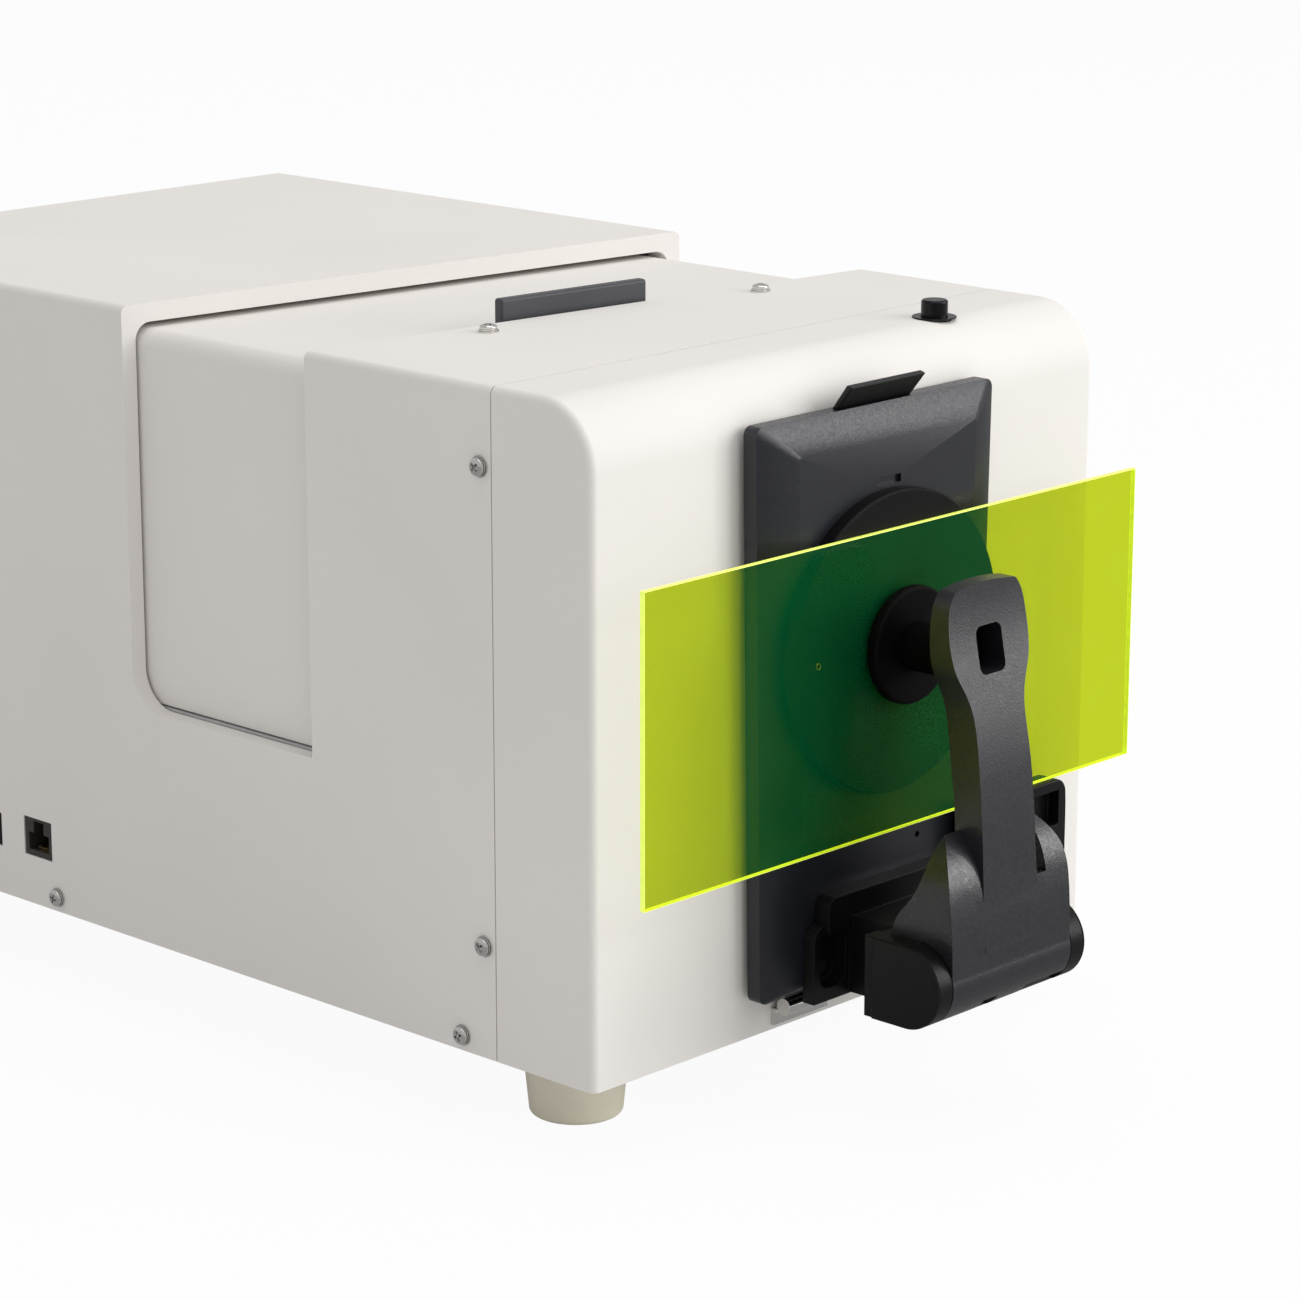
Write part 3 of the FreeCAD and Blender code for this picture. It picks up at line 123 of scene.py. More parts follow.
def paintFinish(name, colour, grain=1500, gloss=0.62):
    # sprayed enamel: a fine orange peel, very slight cloudiness
    finish, tree, shader = newFinish(name)
    place = objectPlace(tree)
    cloud = noiseOn(tree, place, 7, 2)
    tint = tintBetween(tree, cloud, "Fac", shaded(colour, 0.975), shaded(colour, 1.015))
    join(tree, tint, "Color", shader, "Base Color")
    peel = noiseOn(tree, place, grain, 2, 0.6)
    join(tree, spread(tree, peel, "Fac", gloss - 0.05, gloss + 0.07), "Result", shader, "Roughness")
    join(tree, bumpFrom(tree, peel, "Fac", 0.16, 0.00012), "Normal", shader, "Normal")
    shader.inputs["Specular IOR Level"].default_value = 0.22
    return finish


def mouldedFinish(name, colour, grain, depth, gloss, specular=0.5):
    # moulded plastic with a spark-eroded or leather grain
    finish, tree, shader = newFinish(name)
    place = objectPlace(tree)
    cells = tree.nodes.new("ShaderNodeTexVoronoi")
    cells.feature = "SMOOTH_F1"
    cells.inputs["Scale"].default_value = grain
    cells.inputs["Smoothness"].default_value = 0.6
    join(tree, place, "Vector", cells, "Vector")
    haze = noiseOn(tree, place, grain * 0.45, 4, 0.65)
    mix = tree.nodes.new("ShaderNodeMath")
    mix.operation = "MULTIPLY"
    join(tree, cells, "Distance", mix, 0)
    join(tree, haze, "Fac", mix, 1)
    join(tree, bumpFrom(tree, mix, "Value", 0.55, depth), "Normal", shader, "Normal")
    wear = noiseOn(tree, place, 18, 4, 0.6)
    tint = tintBetween(tree, wear, "Fac", shaded(colour, 0.9), shaded(colour, 1.1))
    join(tree, tint, "Color", shader, "Base Color")
    join(tree, spread(tree, haze, "Fac", gloss - 0.06, gloss + 0.08), "Result", shader, "Roughness")
    shader.inputs["Specular IOR Level"].default_value = specular
    return finish


def metalFinish(name, colour, gloss, streak=(1, 1, 1), grain=900, metallic=1.0):
    finish, tree, shader = newFinish(name)
    place = objectPlace(tree, streak)
    lines = noiseOn(tree, place, grain, 3, 0.6)
    tint = tintBetween(tree, lines, "Fac", shaded(colour, 0.88), shaded(colour, 1.05))
    join(tree, tint, "Color", shader, "Base Color")
    join(tree, spread(tree, lines, "Fac", gloss - 0.07, gloss + 0.1), "Result", shader, "Roughness")
    join(tree, bumpFrom(tree, lines, "Fac", 0.12, 0.00006), "Normal", shader, "Normal")
    shader.inputs["Metallic"].default_value = metallic
    return finish


def glassFinish(name, colour, gloss):
    finish, tree, shader = newFinish(name)
    place = objectPlace(tree)
    film = noiseOn(tree, place, 60, 2)
    join(tree, spread(tree, film, "Fac", gloss, gloss + 0.03), "Result", shader, "Roughness")
    shader.inputs["Base Color"].default_value = (*colour, 1)
    shader.inputs["Transmission Weight"].default_value = 1.0
    shader.inputs["IOR"].default_value = 1.49
    return finish


def boardFinish(name, colour):
    finish, tree, shader = newFinish(name)
    place = objectPlace(tree)
    tracks = tree.nodes.new("ShaderNodeTexBrick")
    tracks.inputs["Scale"].default_value = 160
    tracks.inputs["Color1"].default_value = (*colour, 1)
    tracks.inputs["Color2"].default_value = (*shaded(colour, 1.35), 1)
    tracks.inputs["Mortar"].default_value = (*shaded(colour, 0.7), 1)
    join(tree, place, "Vector", tracks, "Vector")
    join(tree, tracks, "Color", shader, "Base Color")
    join(tree, bumpFrom(tree, tracks, "Fac", 0.2, 0.00005), "Normal", shader, "Normal")
    shader.inputs["Roughness"].default_value = 0.35
    return finish


def acrylicFinish(name, clearTint, bodyShare, bodyColour, shadeTint=(0.985, 0.99, 0.95)):
    # clear coloured sheet: tinted straight-through light and a little deep green of its own
    finish, tree, shader = newFinish(name)
    place = objectPlace(tree)
    film = noiseOn(tree, place, 45, 3)
    join(tree, spread(tree, film, "Fac", 0.015, 0.05), "Result", shader, "Roughness")
    tint = tintBetween(tree, film, "Fac", shaded(bodyColour, 0.92), shaded(bodyColour, 1.08))
    join(tree, tint, "Color", shader, "Base Color")
    shader.inputs["IOR"].default_value = 1.49
    clear = tree.nodes.new("ShaderNodeBsdfTransparent")
    clear.inputs["Color"].default_value = (*clearTint, 1)
    sheet = tree.nodes.new("ShaderNodeMixShader")
    sheet.inputs["Fac"].default_value = bodyShare
    join(tree, clear, "BSDF", sheet, 1)
    join(tree, shader, "BSDF", sheet, 2)
    pale = tree.nodes.new("ShaderNodeBsdfTransparent")  # what shadow and bounced light pass through
    pale.inputs["Color"].default_value = (*shadeTint, 1)
    rays = tree.nodes.new("ShaderNodeLightPath")
    soft = tree.nodes.new("ShaderNodeMath")
    soft.operation = "MAXIMUM"
    join(tree, rays, "Is Shadow Ray", soft, 0)
    join(tree, rays, "Is Diffuse Ray", soft, 1)
    mix = tree.nodes.new("ShaderNodeMixShader")
    join(tree, soft, "Value", mix, "Fac")
    join(tree, sheet, "Shader", mix, 1)
    join(tree, pale, "BSDF", mix, 2)
    join(tree, mix, "Shader", tree.nodes["Material Output"], "Surface")
    return finish


def paintedGlowEdgeFinish(name, colour, strength):
    # sawn acrylic edge with a painted glow: an emission stands in for the light the sheet gathers to its
    # edges
    finish, tree, shader = newFinish(name)
    place = objectPlace(tree)
    saw = noiseOn(tree, place, 420, 3, 0.6)
    tint = tintBetween(tree, saw, "Fac", shaded(colour, 0.86), colour)
    join(tree, tint, "Color", shader, "Base Color")
    # painted glow: the edge colour is also emitted, though the edge is no lamp
    join(tree, tint, "Color", shader, "Emission Color")
    shader.inputs["Emission Strength"].default_value = strength
    join(tree, spread(tree, saw, "Fac", 0.3, 0.5), "Result", shader, "Roughness")
    join(tree, bumpFrom(tree, saw, "Fac", 0.2, 0.0001), "Normal", shader, "Normal")
    return finish


finishes = {
    "cover_white": paintFinish("coverPaint", (0.825, 0.795, 0.762)),
    "rear_white": paintFinish("rearPaint", (0.78, 0.76, 0.73)),
    # foot rubber: its own ivory colour, brightened past it as painted light to make up for the shade under
    # the casing
    "foot_grey": mouldedFinish("footRubberPaintedLight", (0.93, 0.87, 0.71), 2600, 0.00004, 0.55, 0.3),
    "chassis_metal": metalFinish("bareSheet", (0.62, 0.62, 0.63), 0.36, (1, 0.06, 1), 1100),
    "panel_dark": mouldedFinish("panelPlastic", (0.010, 0.011, 0.0165), 2000, 0.00007, 0.34, 0.52),
    "black_plastic": mouldedFinish("blackPlastic", (0.0045, 0.0045, 0.005), 2600, 0.00002, 0.38, 0.2),
    "arm_grey": mouldedFinish("armPlastic", (0.0105, 0.0107, 0.0145), 1500, 0.00012, 0.33, 0.72),
    "pad_black": mouldedFinish("padFelt", (0.003, 0.0024, 0.0024), 3200, 0.00008, 0.6, 0.08),
    "plate_green": acrylicFinish("acrylicSheet", (0.80, 0.835, 0.065), 0.085, (0.0, 0.42, 0.20)),
    "steel": metalFinish("platedSteel", (0.72, 0.71, 0.69), 0.13, (1, 1, 1), 1800),
    "button_black": mouldedFinish("buttonPlastic", (0.0032, 0.0032, 0.0036), 3000, 0.00002, 0.27, 0.24),
    "glass_clear": glassFinish("opticGlass", (0.93, 0.95, 0.96), 0.0),
    "board_green": boardFinish("solderMask", (0.015, 0.12, 0.045)),
    "capacitor_black": mouldedFinish("shrinkSleeve", (0.015, 0.015, 0.022), 900, 0.00002, 0.25),
    "pin_brass": metalFinish("brassPins", (0.80, 0.62, 0.26), 0.25, (1, 1, 1), 1500),
}
ownFinishes = {  # pieces that differ a little from the rest of their slot
    "hood_handle": mouldedFinish("handlePlastic", (0.060, 0.060, 0.069), 2400, 0.00006, 0.38, 0.35),
    "finger_tab": mouldedFinish("tabPlastic", (0.008, 0.008, 0.009), 2400, 0.00005, 0.34, 0.3),
    "target_mask": mouldedFinish("maskBlack", (0.004, 0.004, 0.0045), 2600, 0.000003, 0.5, 0.12),
    "pad_stem": mouldedFinish("stemBlack", (0.003, 0.0024, 0.0024), 2600, 0.00002, 0.6, 0.05),
    "network_socket": mouldedFinish("socketShell", (0.032, 0.029, 0.024), 2600, 0.00002, 0.34, 0.5),
    "port_tube": mouldedFinish("portBlack", (0.004, 0.004, 0.004), 2400, 0.00005, 0.6, 0.1),
}
# the plate's sawn edges, given a painted glow
paintedGlowEdge = paintedGlowEdgeFinish("acrylicEdgePaintedGlow", (0.85, 1.0, 0.16), 0.4)
for name, node in nodes.items():
    node.data.materials.clear()
    node.data.materials.append(ownFinishes.get(name, finishes[slotOf[name]]))
print("finishes set,", len(finishes))


# pieces

def addPiece(name, mesh, body, slot, *stands):
    piece = bpy.data.objects.new(name, mesh)
    bpy.context.scene.collection.objects.link(piece)
    if not mesh.materials:
        mesh.materials.append(finishes[slot])
    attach(piece, body)
    if stands:
        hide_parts(*stands)
    return piece


def plainMesh(piece, name):
    # the evaluated object as a mesh of its own, modifiers and instances included
    bpy.context.view_layer.update()
    evaluated = piece.evaluated_get(bpy.context.evaluated_depsgraph_get())
    mesh = bpy.data.meshes.new_from_object(evaluated)
    mesh.name = name
    bpy.data.objects.remove(piece)
    return mesh


edgeRules = {"merge": 2e-6, "flat": 0.4, "corner": 32, "segments": 3, "weight": 80}  # metres, degrees


def softened(nodeName, width):
    # a copy of the node with its flat faces joined and its edges rounded
    mesh = bpy.data.meshes.new(nodeName + "Soft")
    shape = bmesh.new()
    shape.from_mesh(nodes[nodeName].data)
    bmesh.ops.remove_doubles(shape, verts=shape.verts, dist=edgeRules["merge"])
    bmesh.ops.dissolve_limit(shape, angle_limit=math.radians(edgeRules["flat"]),
                             verts=shape.verts, edges=shape.edges)
    shape.to_mesh(mesh)
    shape.free()
    for face in mesh.polygons:
        face.use_smooth = True
    piece = bpy.data.objects.new(nodeName + "Soft", mesh)
    bpy.context.scene.collection.objects.link(piece)
    bevel = piece.modifiers.new("edges", "BEVEL")
    bevel.width = width / 1000
    bevel.segments = edgeRules["segments"]
    bevel.limit_method = "ANGLE"
    bevel.angle_limit = math.radians(edgeRules["corner"])
    bevel.use_clamp_overlap = True
    level = piece.modifiers.new("level", "WEIGHTED_NORMAL")
    level.keep_sharp = True
    level.weight = edgeRules["weight"]
    soft = plainMesh(piece, nodeName + "Soft")
    soft.materials.clear()
    soft.materials.append(ownFinishes.get(nodeName, finishes[slotOf[nodeName]]))
    return addPiece(nodeName + "Dressed", soft, bodyOf[nodeName], slotOf[nodeName], nodeName)


edgeWidths = {  # mm
    "main_cover": 0.7, "front_cover": 0.7, "hood": 0.6, "hood_handle": 0.5, "rear_panel": 0.5,
    "port_door": 0.9, "finger_tab": 0.5, "target_mask": 0.5, "hinge_base": 0.8, "knuckle_caps": 0.6,
    "specimen_arm": 1.6, "sample_rest": 0.7, "pad_stem": 0.5, "button_collar": 0.3,
    "network_socket": 0.25, "data_socket": 0.25, "mains_inlet": 0.5, "power_switch": 0.5,
    "power_rocker": 0.4,
}
for name, width in edgeWidths.items():
    softened(name, width)
print("edges rounded on", len(edgeWidths), "pieces")


# sample plate, its sawn edges a finish of their own with a painted glow

plateSizes = {"edge": 0.35, "segments": 2, "profile": 0.6, "faceOn": 0.98}  # mm, and how square a face lies


def samplePlate():
    low, high = (Vector(corner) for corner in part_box("sample_plate"))
    shape = bmesh.new()
    bmesh.ops.create_cube(shape, size=1)
    for vert in shape.verts:
        vert.co = Vector(tuple(low[i] + (vert.co[i] + 0.5) * (high[i] - low[i]) for i in range(3)))
    bmesh.ops.bevel(shape, geom=shape.edges[:], offset=plateSizes["edge"] / 1000,
                    segments=plateSizes["segments"], profile=plateSizes["profile"], affect="EDGES")
    bmesh.ops.recalc_face_normals(shape, faces=shape.faces)
    for face in shape.faces:
        face.material_index = 0 if abs(face.normal.y) > plateSizes["faceOn"] else 1
        face.smooth = False
    mesh = bpy.data.meshes.new("samplePlate")
    shape.to_mesh(mesh)
    shape.free()
    mesh.materials.append(finishes["plate_green"])
    # second slot: the sawn edges, with a painted glow
    mesh.materials.append(paintedGlowEdge)
    addPiece("acrylicPlate", mesh, "sample", "plate_green", "sample_plate")


samplePlate()
print("sample plate made")


# node trees for what repeats

crispAngle = 38  # degrees between faces, past which an edge stays crisp


def newTree(name, sizes, counts=()):
    tree = bpy.data.node_groups.new(name, "GeometryNodeTree")
    tree.interface.new_socket("Geometry", in_out="INPUT", socket_type="NodeSocketGeometry")
    for label in sizes:
        tree.interface.new_socket(label, in_out="INPUT", socket_type="NodeSocketFloat")
    for label in counts:
        tree.interface.new_socket(label, in_out="INPUT", socket_type="NodeSocketInt")
    tree.interface.new_socket("Geometry", in_out="OUTPUT", socket_type="NodeSocketGeometry")
    return tree, tree.nodes.new("NodeGroupInput"), tree.nodes.new("NodeGroupOutput")


def treeMesh(name, tree, points, values, facing=None):
    # a mesh of points run through the tree, then made plain
    host = bpy.data.meshes.new(name)
    host.from_pydata([tuple(point) for point in points], [], [])
    if facing:
        out = host.attributes.new("facing", "FLOAT_VECTOR", "POINT")
        out.data.foreach_set("vector", [part for way in facing for part in way])
    piece = bpy.data.objects.new(name, host)
    bpy.context.scene.collection.objects.link(piece)
    modifier = piece.modifiers.new(name, "NODES")
    modifier.node_group = tree
    for item in tree.interface.items_tree:
        if item.in_out == "INPUT" and item.name in values:
            modifier[item.identifier] = values[item.name]
    return plainMesh(piece, name)


def mathNode(tree, operation, first, second):
    node = tree.nodes.new("ShaderNodeMath")
    node.operation = operation
    for index, value in enumerate((first, second)):
        if isinstance(value, (int, float)):
            node.inputs[index].default_value = value
        else:
            tree.links.new(value, node.inputs[index])
    return node.outputs["Value"]


def vectorOf(tree, *parts):
    node = tree.nodes.new("ShaderNodeCombineXYZ")
    for index, value in enumerate(parts):
        if isinstance(value, (int, float)):
            node.inputs[index].default_value = value
        else:
            tree.links.new(value, node.inputs[index])
    return node.outputs["Vector"]


def moved(tree, geometry, shift, scale=None):
    node = tree.nodes.new("GeometryNodeTransform")
    tree.links.new(geometry, node.inputs["Geometry"])
    tree.links.new(shift, node.inputs["Translation"])
    if scale:
        tree.links.new(scale, node.inputs["Scale"])
    return node.outputs["Geometry"]


def disc(tree, radius, depth, low, sides):
    # an upright cylinder standing on a level
    node = tree.nodes.new("GeometryNodeMeshCylinder")
    node.inputs["Vertices"].default_value = sides
    tree.links.new(radius, node.inputs["Radius"])
    tree.links.new(depth, node.inputs["Depth"])
    middle = mathNode(tree, "ADD", low, mathNode(tree, "MULTIPLY", depth, 0.5))
    return moved(tree, node.outputs["Mesh"], vectorOf(tree, 0, 0, middle))


def gathered(tree, *parts):
    node = tree.nodes.new("GeometryNodeJoinGeometry")
    for part in parts:
        tree.links.new(part, node.inputs["Geometry"])
    return node.outputs["Geometry"]


def finished(tree, geometry, output, finish):
    # smooth faces with crisp edges, realized and given their finish
    smooth = tree.nodes.new("GeometryNodeSetShadeSmooth")
    tree.links.new(geometry, smooth.inputs["Geometry"])
    angle = tree.nodes.new("GeometryNodeInputMeshEdgeAngle")
    crisp = tree.nodes.new("GeometryNodeSetShadeSmooth")
    crisp.domain = "EDGE"
    tree.links.new(smooth.outputs["Geometry"], crisp.inputs["Geometry"])
    sharp = mathNode(tree, "GREATER_THAN", angle.outputs["Unsigned Angle"], math.radians(crispAngle))
    tree.links.new(sharp, crisp.inputs["Selection"])
    crisp.inputs["Shade Smooth"].default_value = False
    colour = tree.nodes.new("GeometryNodeSetMaterial")
    colour.inputs["Material"].default_value = finish
    tree.links.new(crisp.outputs["Geometry"], colour.inputs["Geometry"])
    tree.links.new(colour.outputs["Geometry"], output.inputs["Geometry"])


screwSizes = {  # metres
    "washerRadius": 0.0039, "washerWall": 0.0006, "ringRadius": 0.0035, "ringWall": 0.00045,
    "groove": 0.00015, "coreRadius": 0.0026, "headRadius": 0.0032, "headWall": 0.00065, "domeRise": 0.0010,
    "crossLength": 0.0037, "crossWidth": 0.0008, "crossDepth": 0.0013,
    "shankRadius": 0.0018, "shankLength": 0.0088,
}
screwSides = {"washer": 40, "ring": 40, "core": 32, "head": 48, "domeRings": 20, "shank": 24}
screwPlaces = {  # mm: side edges as (depth, height), top and rear as full places
    "side": 135.5,
    "edges": ((53.2, 72.8), (53.2, 245.1), (64.7, 37.0), (292.8, 37.0), (430.0, 37.0)),
    "top": ((-63.8, 122.104, 273.4), (67.9, 108.262, 273.4)),
    "rear": ((-124.7, 458.0, 41.0), (124.7, 458.0, 41.0), (-124.7, 458.0, 263.3), (124.7, 458.0, 263.3)),
}


def screwTree():
    # pan head with a cross recess, a spring ring and a washer, on points that carry their facing
    tree, given, output = newTree("panScrews", screwSizes, ("seed",))
    size = {label: given.outputs[label] for label in screwSizes}
    washer = disc(tree, size["washerRadius"], size["washerWall"], 0.0, screwSides["washer"])
    ringLow = mathNode(tree, "ADD", size["washerWall"], size["groove"])
    ring = disc(tree, size["ringRadius"], size["ringWall"], ringLow, screwSides["ring"])
    headLow = mathNode(tree, "ADD", mathNode(tree, "ADD", ringLow, size["ringWall"]), size["groove"])
    core = disc(tree, size["coreRadius"], headLow, 0.0, screwSides["core"])
    barrel = disc(tree, size["headRadius"], size["headWall"], headLow, screwSides["head"])
    domeLow = mathNode(tree, "ADD", headLow, size["headWall"])
    ball = tree.nodes.new("GeometryNodeMeshUVSphere")
    ball.inputs["Segments"].default_value = screwSides["head"]
    ball.inputs["Rings"].default_value = screwSides["domeRings"]
    ball.inputs["Radius"].default_value = 1.0
    dome = moved(tree, ball.outputs["Mesh"], vectorOf(tree, 0, 0, domeLow),
                 vectorOf(tree, size["headRadius"], size["headRadius"], size["domeRise"]))
    head = tree.nodes.new("GeometryNodeMeshBoolean")
    head.operation = "UNION"
    tree.links.new(barrel, head.inputs["Mesh 2"])
    tree.links.new(dome, head.inputs["Mesh 2"])
    cut = tree.nodes.new("GeometryNodeMeshBoolean")
    cut.operation = "DIFFERENCE"
    tree.links.new(head.outputs["Mesh"], cut.inputs["Mesh 1"])
    top = mathNode(tree, "ADD", domeLow, size["domeRise"])
    deep = mathNode(tree, "MULTIPLY", size["crossDepth"], 2.0)
    for along, over in (("crossWidth", "crossLength"), ("crossLength", "crossWidth")):
        bar = tree.nodes.new("GeometryNodeMeshCube")
        tree.links.new(vectorOf(tree, size[along], size[over], deep), bar.inputs["Size"])
        tree.links.new(moved(tree, bar.outputs["Mesh"], vectorOf(tree, 0, 0, top)), cut.inputs["Mesh 2"])
    shankLow = mathNode(tree, "MULTIPLY", size["shankLength"], -1.0)
    shank = disc(tree, size["shankRadius"], size["shankLength"], shankLow, screwSides["shank"])
    screw = gathered(tree, washer, ring, core, cut.outputs["Mesh"], shank)
    facing = tree.nodes.new("GeometryNodeInputNamedAttribute")
    facing.data_type = "FLOAT_VECTOR"
    facing.inputs["Name"].default_value = "facing"
    turn = tree.nodes.new("FunctionNodeAlignRotationToVector")
    turn.axis = "Z"
    tree.links.new(facing.outputs["Attribute"], turn.inputs["Vector"])
    chance = tree.nodes.new("FunctionNodeRandomValue")
    chance.data_type = "FLOAT"
    chance.inputs["Max"].default_value = math.tau
    tree.links.new(given.outputs["seed"], chance.inputs["Seed"])
    spin = tree.nodes.new("FunctionNodeAxisAngleToRotation")
    spin.inputs["Axis"].default_value = (0, 0, 1)
    drawn = next(out for out in chance.outputs if out.enabled and out.type == "VALUE")
    tree.links.new(drawn, spin.inputs["Angle"])
    turned = tree.nodes.new("FunctionNodeRotateRotation")
    turned.rotation_space = "LOCAL"
    tree.links.new(turn.outputs["Rotation"], turned.inputs["Rotation"])
    tree.links.new(spin.outputs["Rotation"], turned.inputs["Rotate By"])
    placed = tree.nodes.new("GeometryNodeInstanceOnPoints")
    tree.links.new(given.outputs["Geometry"], placed.inputs["Points"])
    tree.links.new(screw, placed.inputs["Instance"])
    tree.links.new(turned.outputs["Rotation"], placed.inputs["Rotation"])
    whole = tree.nodes.new("GeometryNodeRealizeInstances")
    tree.links.new(placed.outputs["Instances"], whole.inputs["Geometry"])
    finished(tree, whole.outputs["Geometry"], output, finishes["steel"])
    return tree


def coverScrews():
    points, facing = [], []
    for side in (-1, 1):
        for depth, height in screwPlaces["edges"]:
            points.append(spot(side * screwPlaces["side"], depth, height))
            facing.append((side, 0, 0))
    points += [spot(*place) for place in screwPlaces["top"] + screwPlaces["rear"]]
    facing += [(0, 0, 1)] * len(screwPlaces["top"]) + [(0, 1, 0)] * len(screwPlaces["rear"])
    mesh = treeMesh("panScrews", screwTree(), points, {**screwSizes, "seed": 11}, facing)
    addPiece("panScrews", mesh, "casing", "steel", "cover_screws")
    print("screws set,", len(points))


coverScrews()


# socket contacts: a row of strips on a line
contactRows = {  # mm: first strip's middle, step between strips, strip size, how many
    "networkContacts": {
        "start": (-127.6, 300.85, 53.75), "step": 1.02, "strip": (10.0, 0.45, 0.6), "count": 8,
    },
    "dataContacts": {
        "start": (-127.4, 332.0, 58.55), "step": 1.6, "strip": (8.0, 0.8, 0.3), "count": 4,
    },
}
stripRows = 6  # points along a strip


def contactTree():
    tree, given, output = newTree("contactStrips", ("step", "long", "wide", "thick"), ("count",))
    line = tree.nodes.new("GeometryNodeMeshLine")
    tree.links.new(given.outputs["count"], line.inputs["Count"])
    tree.links.new(vectorOf(tree, 0, given.outputs["step"], 0), line.inputs["Offset"])
    strip = tree.nodes.new("GeometryNodeMeshCube")
    strip.inputs["Vertices X"].default_value = stripRows
    tree.links.new(vectorOf(tree, given.outputs["long"], given.outputs["wide"], given.outputs["thick"]),
                   strip.inputs["Size"])
    rows = tree.nodes.new("GeometryNodeInstanceOnPoints")
    tree.links.new(given.outputs["Geometry"], rows.inputs["Points"])
    along = tree.nodes.new("GeometryNodeInstanceOnPoints")
    tree.links.new(line.outputs["Mesh"], along.inputs["Points"])
    tree.links.new(strip.outputs["Mesh"], along.inputs["Instance"])
    tree.links.new(along.outputs["Instances"], rows.inputs["Instance"])
    whole = tree.nodes.new("GeometryNodeRealizeInstances")
    tree.links.new(rows.outputs["Instances"], whole.inputs["Geometry"])
    finished(tree, whole.outputs["Geometry"], output, finishes["pin_brass"])
    return tree


def socketContacts():
    tree = contactTree()
    for name, row in contactRows.items():
        long, wide, thick = (side / 1000 for side in row["strip"])
        values = {"step": row["step"] / 1000, "long": long, "wide": wide, "thick": thick}
        values["count"] = row["count"]
        addPiece(name, treeMesh(name, tree, [spot(*row["start"])], values), "casing", "pin_brass")
    print("socket contacts set,", len(contactRows))


socketContacts()

dataTongue = {"middle": (-126.9, 334.4, 57.2), "size": (9.0, 6.4, 2.4), "edge": 0.4, "segments": 2}  # mm


def socketTongue():
    shape = bmesh.new()
    bmesh.ops.create_cube(shape, size=1)
    for vert in shape.verts:
        vert.co = Vector(tuple(vert.co[i] * dataTongue["size"][i] / 1000 for i in range(3)))
    bmesh.ops.bevel(shape, geom=shape.edges[:], offset=dataTongue["edge"] / 1000,
                    segments=dataTongue["segments"], affect="EDGES")
    bmesh.ops.translate(shape, verts=shape.verts, vec=spot(*dataTongue["middle"]))
    mesh = bpy.data.meshes.new("socketTongue")
    shape.to_mesh(mesh)
    shape.free()
    addPiece("socketTongue", mesh, "casing", "black_plastic")


socketTongue()


# small locating ring on the port mask
maskRings = {  # mm, and the steps round the ring and its wire
    "places": ((-43.4, -20.45, 170.1),), "radius": 1.1, "wire": 0.22, "steps": 28, "wireSteps": 10,
}


def ringTree():
    tree, given, output = newTree("locatingRings", ("radius", "wire"))
    hoop = tree.nodes.new("GeometryNodeCurvePrimitiveCircle")
    hoop.inputs["Resolution"].default_value = maskRings["steps"]
    tree.links.new(given.outputs["radius"], hoop.inputs["Radius"])
    section = tree.nodes.new("GeometryNodeCurvePrimitiveCircle")
    section.inputs["Resolution"].default_value = maskRings["wireSteps"]
    tree.links.new(given.outputs["wire"], section.inputs["Radius"])
    sweep = tree.nodes.new("GeometryNodeCurveToMesh")
    tree.links.new(hoop.outputs["Curve"], sweep.inputs["Curve"])
    tree.links.new(section.outputs["Curve"], sweep.inputs["Profile Curve"])
    placed = tree.nodes.new("GeometryNodeInstanceOnPoints")
    placed.inputs["Rotation"].default_value = (math.radians(90), 0, 0)
    tree.links.new(given.outputs["Geometry"], placed.inputs["Points"])
    tree.links.new(sweep.outputs["Mesh"], placed.inputs["Instance"])
    whole = tree.nodes.new("GeometryNodeRealizeInstances")
    tree.links.new(placed.outputs["Instances"], whole.inputs["Geometry"])
    finished(tree, whole.outputs["Geometry"], output, finishes["steel"])
    return tree


def locatingRings():
    values = {"radius": maskRings["radius"] / 1000, "wire": maskRings["wire"] / 1000}
    rings = treeMesh("maskRings", ringTree(), [spot(*place) for place in maskRings["places"]], values)
    addPiece("maskRings", rings, "door", "steel")
    print("mask rings set,", len(maskRings["places"]))


locatingRings()


# stage

stageSizes = {"floor": 12.0, "pale": 0.86, "ambient": 0.54, "glow": 0.94, "sheen": 0.35}
lamps = {
    "keyBox": {
        "place": (1.7, -3.3, 1.6), "aim": (0, -0.1, 0.15), "wide": 2.0, "tall": 2.2, "power": 46.0,
    },
    "sideBox": {
        "place": (2.75, -2.5, 1.05), "aim": (0, -0.2, 0.2), "wide": 0.6, "tall": 1.9, "power": 26.0,
    },
    "topBox": {
        "place": (0.3, -0.5, 2.8), "aim": (0, 0.1, 0.2), "wide": 2.6, "tall": 2.6, "power": 28.0,
    },
}


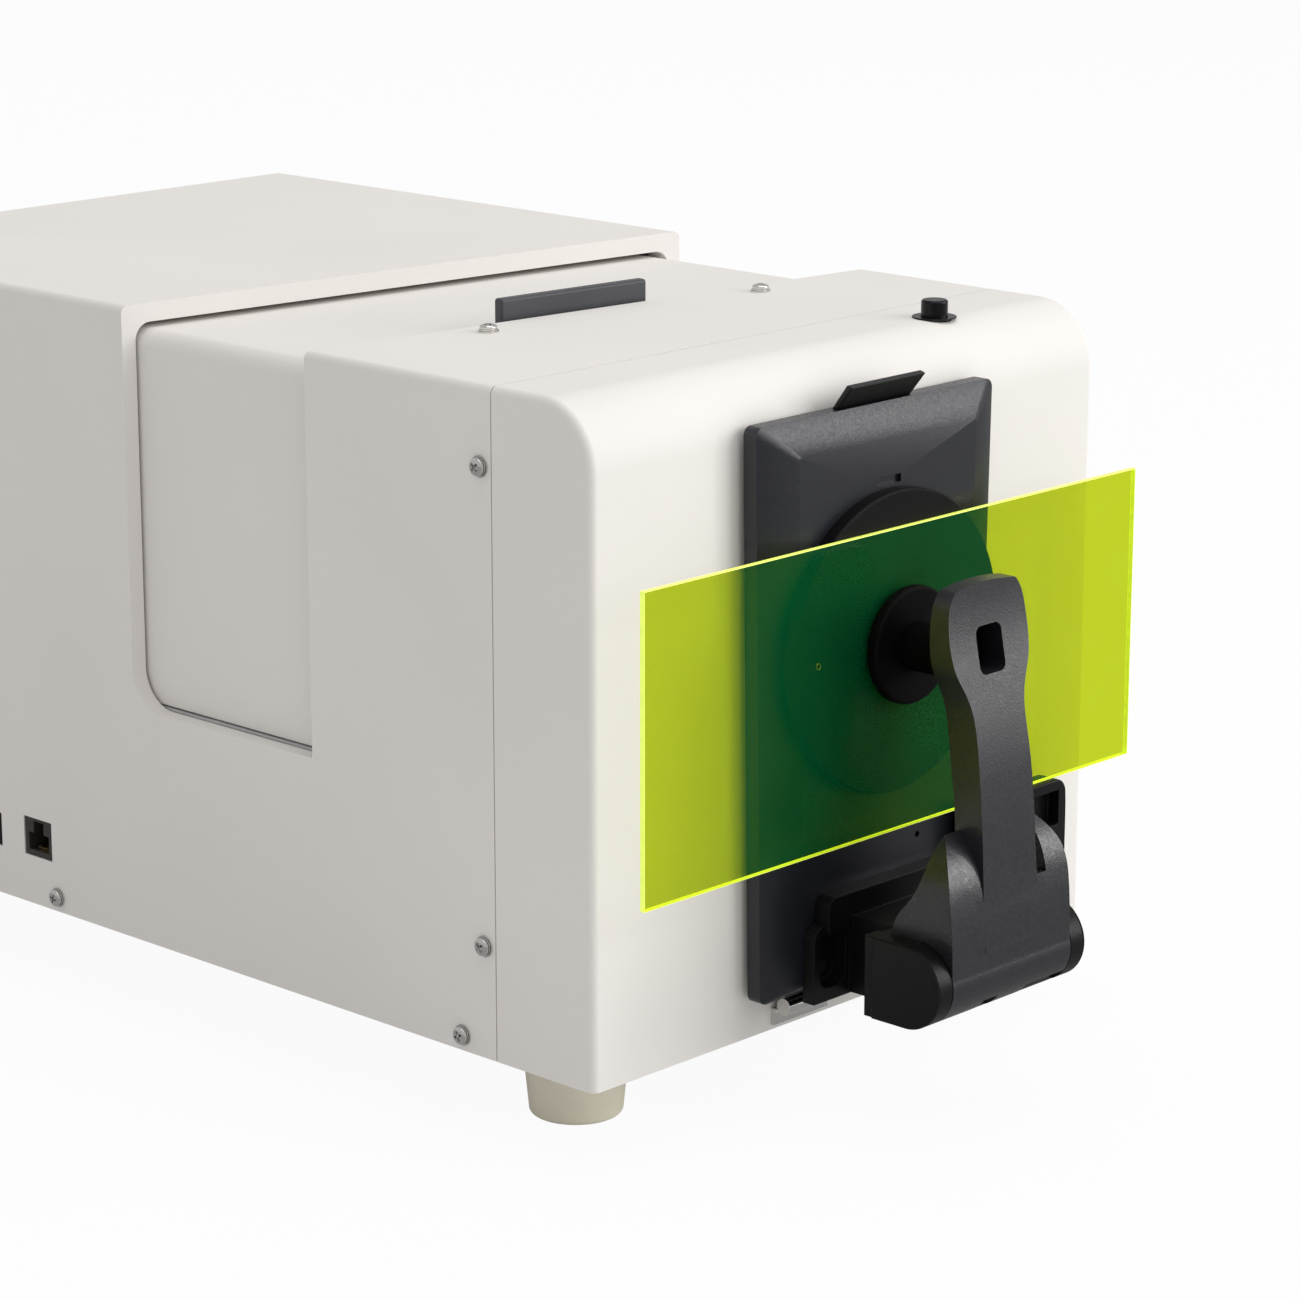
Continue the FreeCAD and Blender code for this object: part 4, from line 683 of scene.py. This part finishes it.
def paleGround(name, colour, glow, sheen):
    # a pale ground that stays white in view, shows dimmer in reflections and still takes the shadow
    finish = bpy.data.materials.new(name)
    finish.use_nodes = True
    tree = finish.node_tree
    tree.nodes.clear()
    output = tree.nodes.new("ShaderNodeOutputMaterial")
    matt = tree.nodes.new("ShaderNodeBsdfDiffuse")
    matt.inputs["Color"].default_value = (*colour, 1)
    white = tree.nodes.new("ShaderNodeEmission")
    white.inputs["Color"].default_value = (1, 1, 1, 1)
    rays = tree.nodes.new("ShaderNodeLightPath")
    seen = tree.nodes.new("ShaderNodeMath")
    seen.operation = "MAXIMUM"
    join(tree, rays, "Is Camera Ray", seen, 0)
    join(tree, rays, "Is Transmission Ray", seen, 1)
    straight = tree.nodes.new("ShaderNodeMath")
    straight.operation = "MULTIPLY"
    straight.inputs[1].default_value = glow
    join(tree, seen, "Value", straight, 0)
    share = tree.nodes.new("ShaderNodeMath")
    share.operation = "MAXIMUM"
    join(tree, straight, "Value", share, 0)
    join(tree, rays, "Is Glossy Ray", share, 1)
    join(tree, spread(tree, rays, "Is Glossy Ray", 1.0, sheen, 0.0, 1.0), "Result", white, "Strength")
    mix = tree.nodes.new("ShaderNodeMixShader")
    join(tree, share, "Value", mix, "Fac")
    join(tree, matt, "BSDF", mix, 1)
    join(tree, white, "Emission", mix, 2)
    join(tree, mix, "Shader", output, "Surface")
    return finish


floorMesh = bpy.data.meshes.new("floor")
half = stageSizes["floor"] / 2
corners = [(-half, -half, 0), (half, -half, 0), (half, half, 0), (-half, half, 0)]
floorMesh.from_pydata(corners, [], [(0, 1, 2, 3)])
floorColour = (stageSizes["pale"],) * 3
floorMesh.materials.append(paleGround("paleFloor", floorColour, stageSizes["glow"], stageSizes["sheen"]))
floor = bpy.data.objects.new("floor", floorMesh)
bpy.context.scene.collection.objects.link(floor)

world = bpy.data.worlds.new("studio")
bpy.context.scene.world = world
world.use_nodes = True
sky = world.node_tree
sky.nodes.clear()
skyOut = sky.nodes.new("ShaderNodeOutputWorld")
light = sky.nodes.new("ShaderNodeBackground")
light.inputs["Color"].default_value = (1, 1, 1, 1)
light.inputs["Strength"].default_value = stageSizes["ambient"]
backdrop = sky.nodes.new("ShaderNodeBackground")
backdrop.inputs["Color"].default_value = (1, 1, 1, 1)
rays = sky.nodes.new("ShaderNodeLightPath")
skyMix = sky.nodes.new("ShaderNodeMixShader")
join(sky, rays, "Is Camera Ray", skyMix, "Fac")
join(sky, light, "Background", skyMix, 1)
join(sky, backdrop, "Background", skyMix, 2)
join(sky, skyMix, "Shader", skyOut, "Surface")


def softBox(name, place, aim, wide, tall, power):
    lamp = bpy.data.lights.new(name, "AREA")
    lamp.shape = "RECTANGLE"
    lamp.size = wide
    lamp.size_y = tall
    lamp.energy = power
    holder = bpy.data.objects.new(name, lamp)
    holder.location = place
    holder.rotation_euler = (Vector(aim) - Vector(place)).to_track_quat("-Z", "Y").to_euler()
    bpy.context.scene.collection.objects.link(holder)


for name, lamp in lamps.items():
    softBox(name, **lamp)

cameraView = {  # metres; lens and sensor in mm
    "place": (-1.1078, -1.1437, 0.5467), "forward": (0.70111, 0.66638, -0.25374),
    "lens": 115.93, "sensor": 36, "near": 0.05,
}
lensData = bpy.data.cameras.new("photoCamera")
lensData.lens = cameraView["lens"]
lensData.sensor_width = cameraView["sensor"]
lensData.sensor_fit = "HORIZONTAL"
lensData.clip_start = cameraView["near"]
camera = bpy.data.objects.new("photoCamera", lensData)
camera.location = cameraView["place"]
camera.rotation_euler = Vector(cameraView["forward"]).to_track_quat("-Z", "Y").to_euler()
bpy.context.scene.collection.objects.link(camera)
bpy.context.scene.camera = camera
bpy.context.scene.view_settings.view_transform = "Standard"
print("stage set")
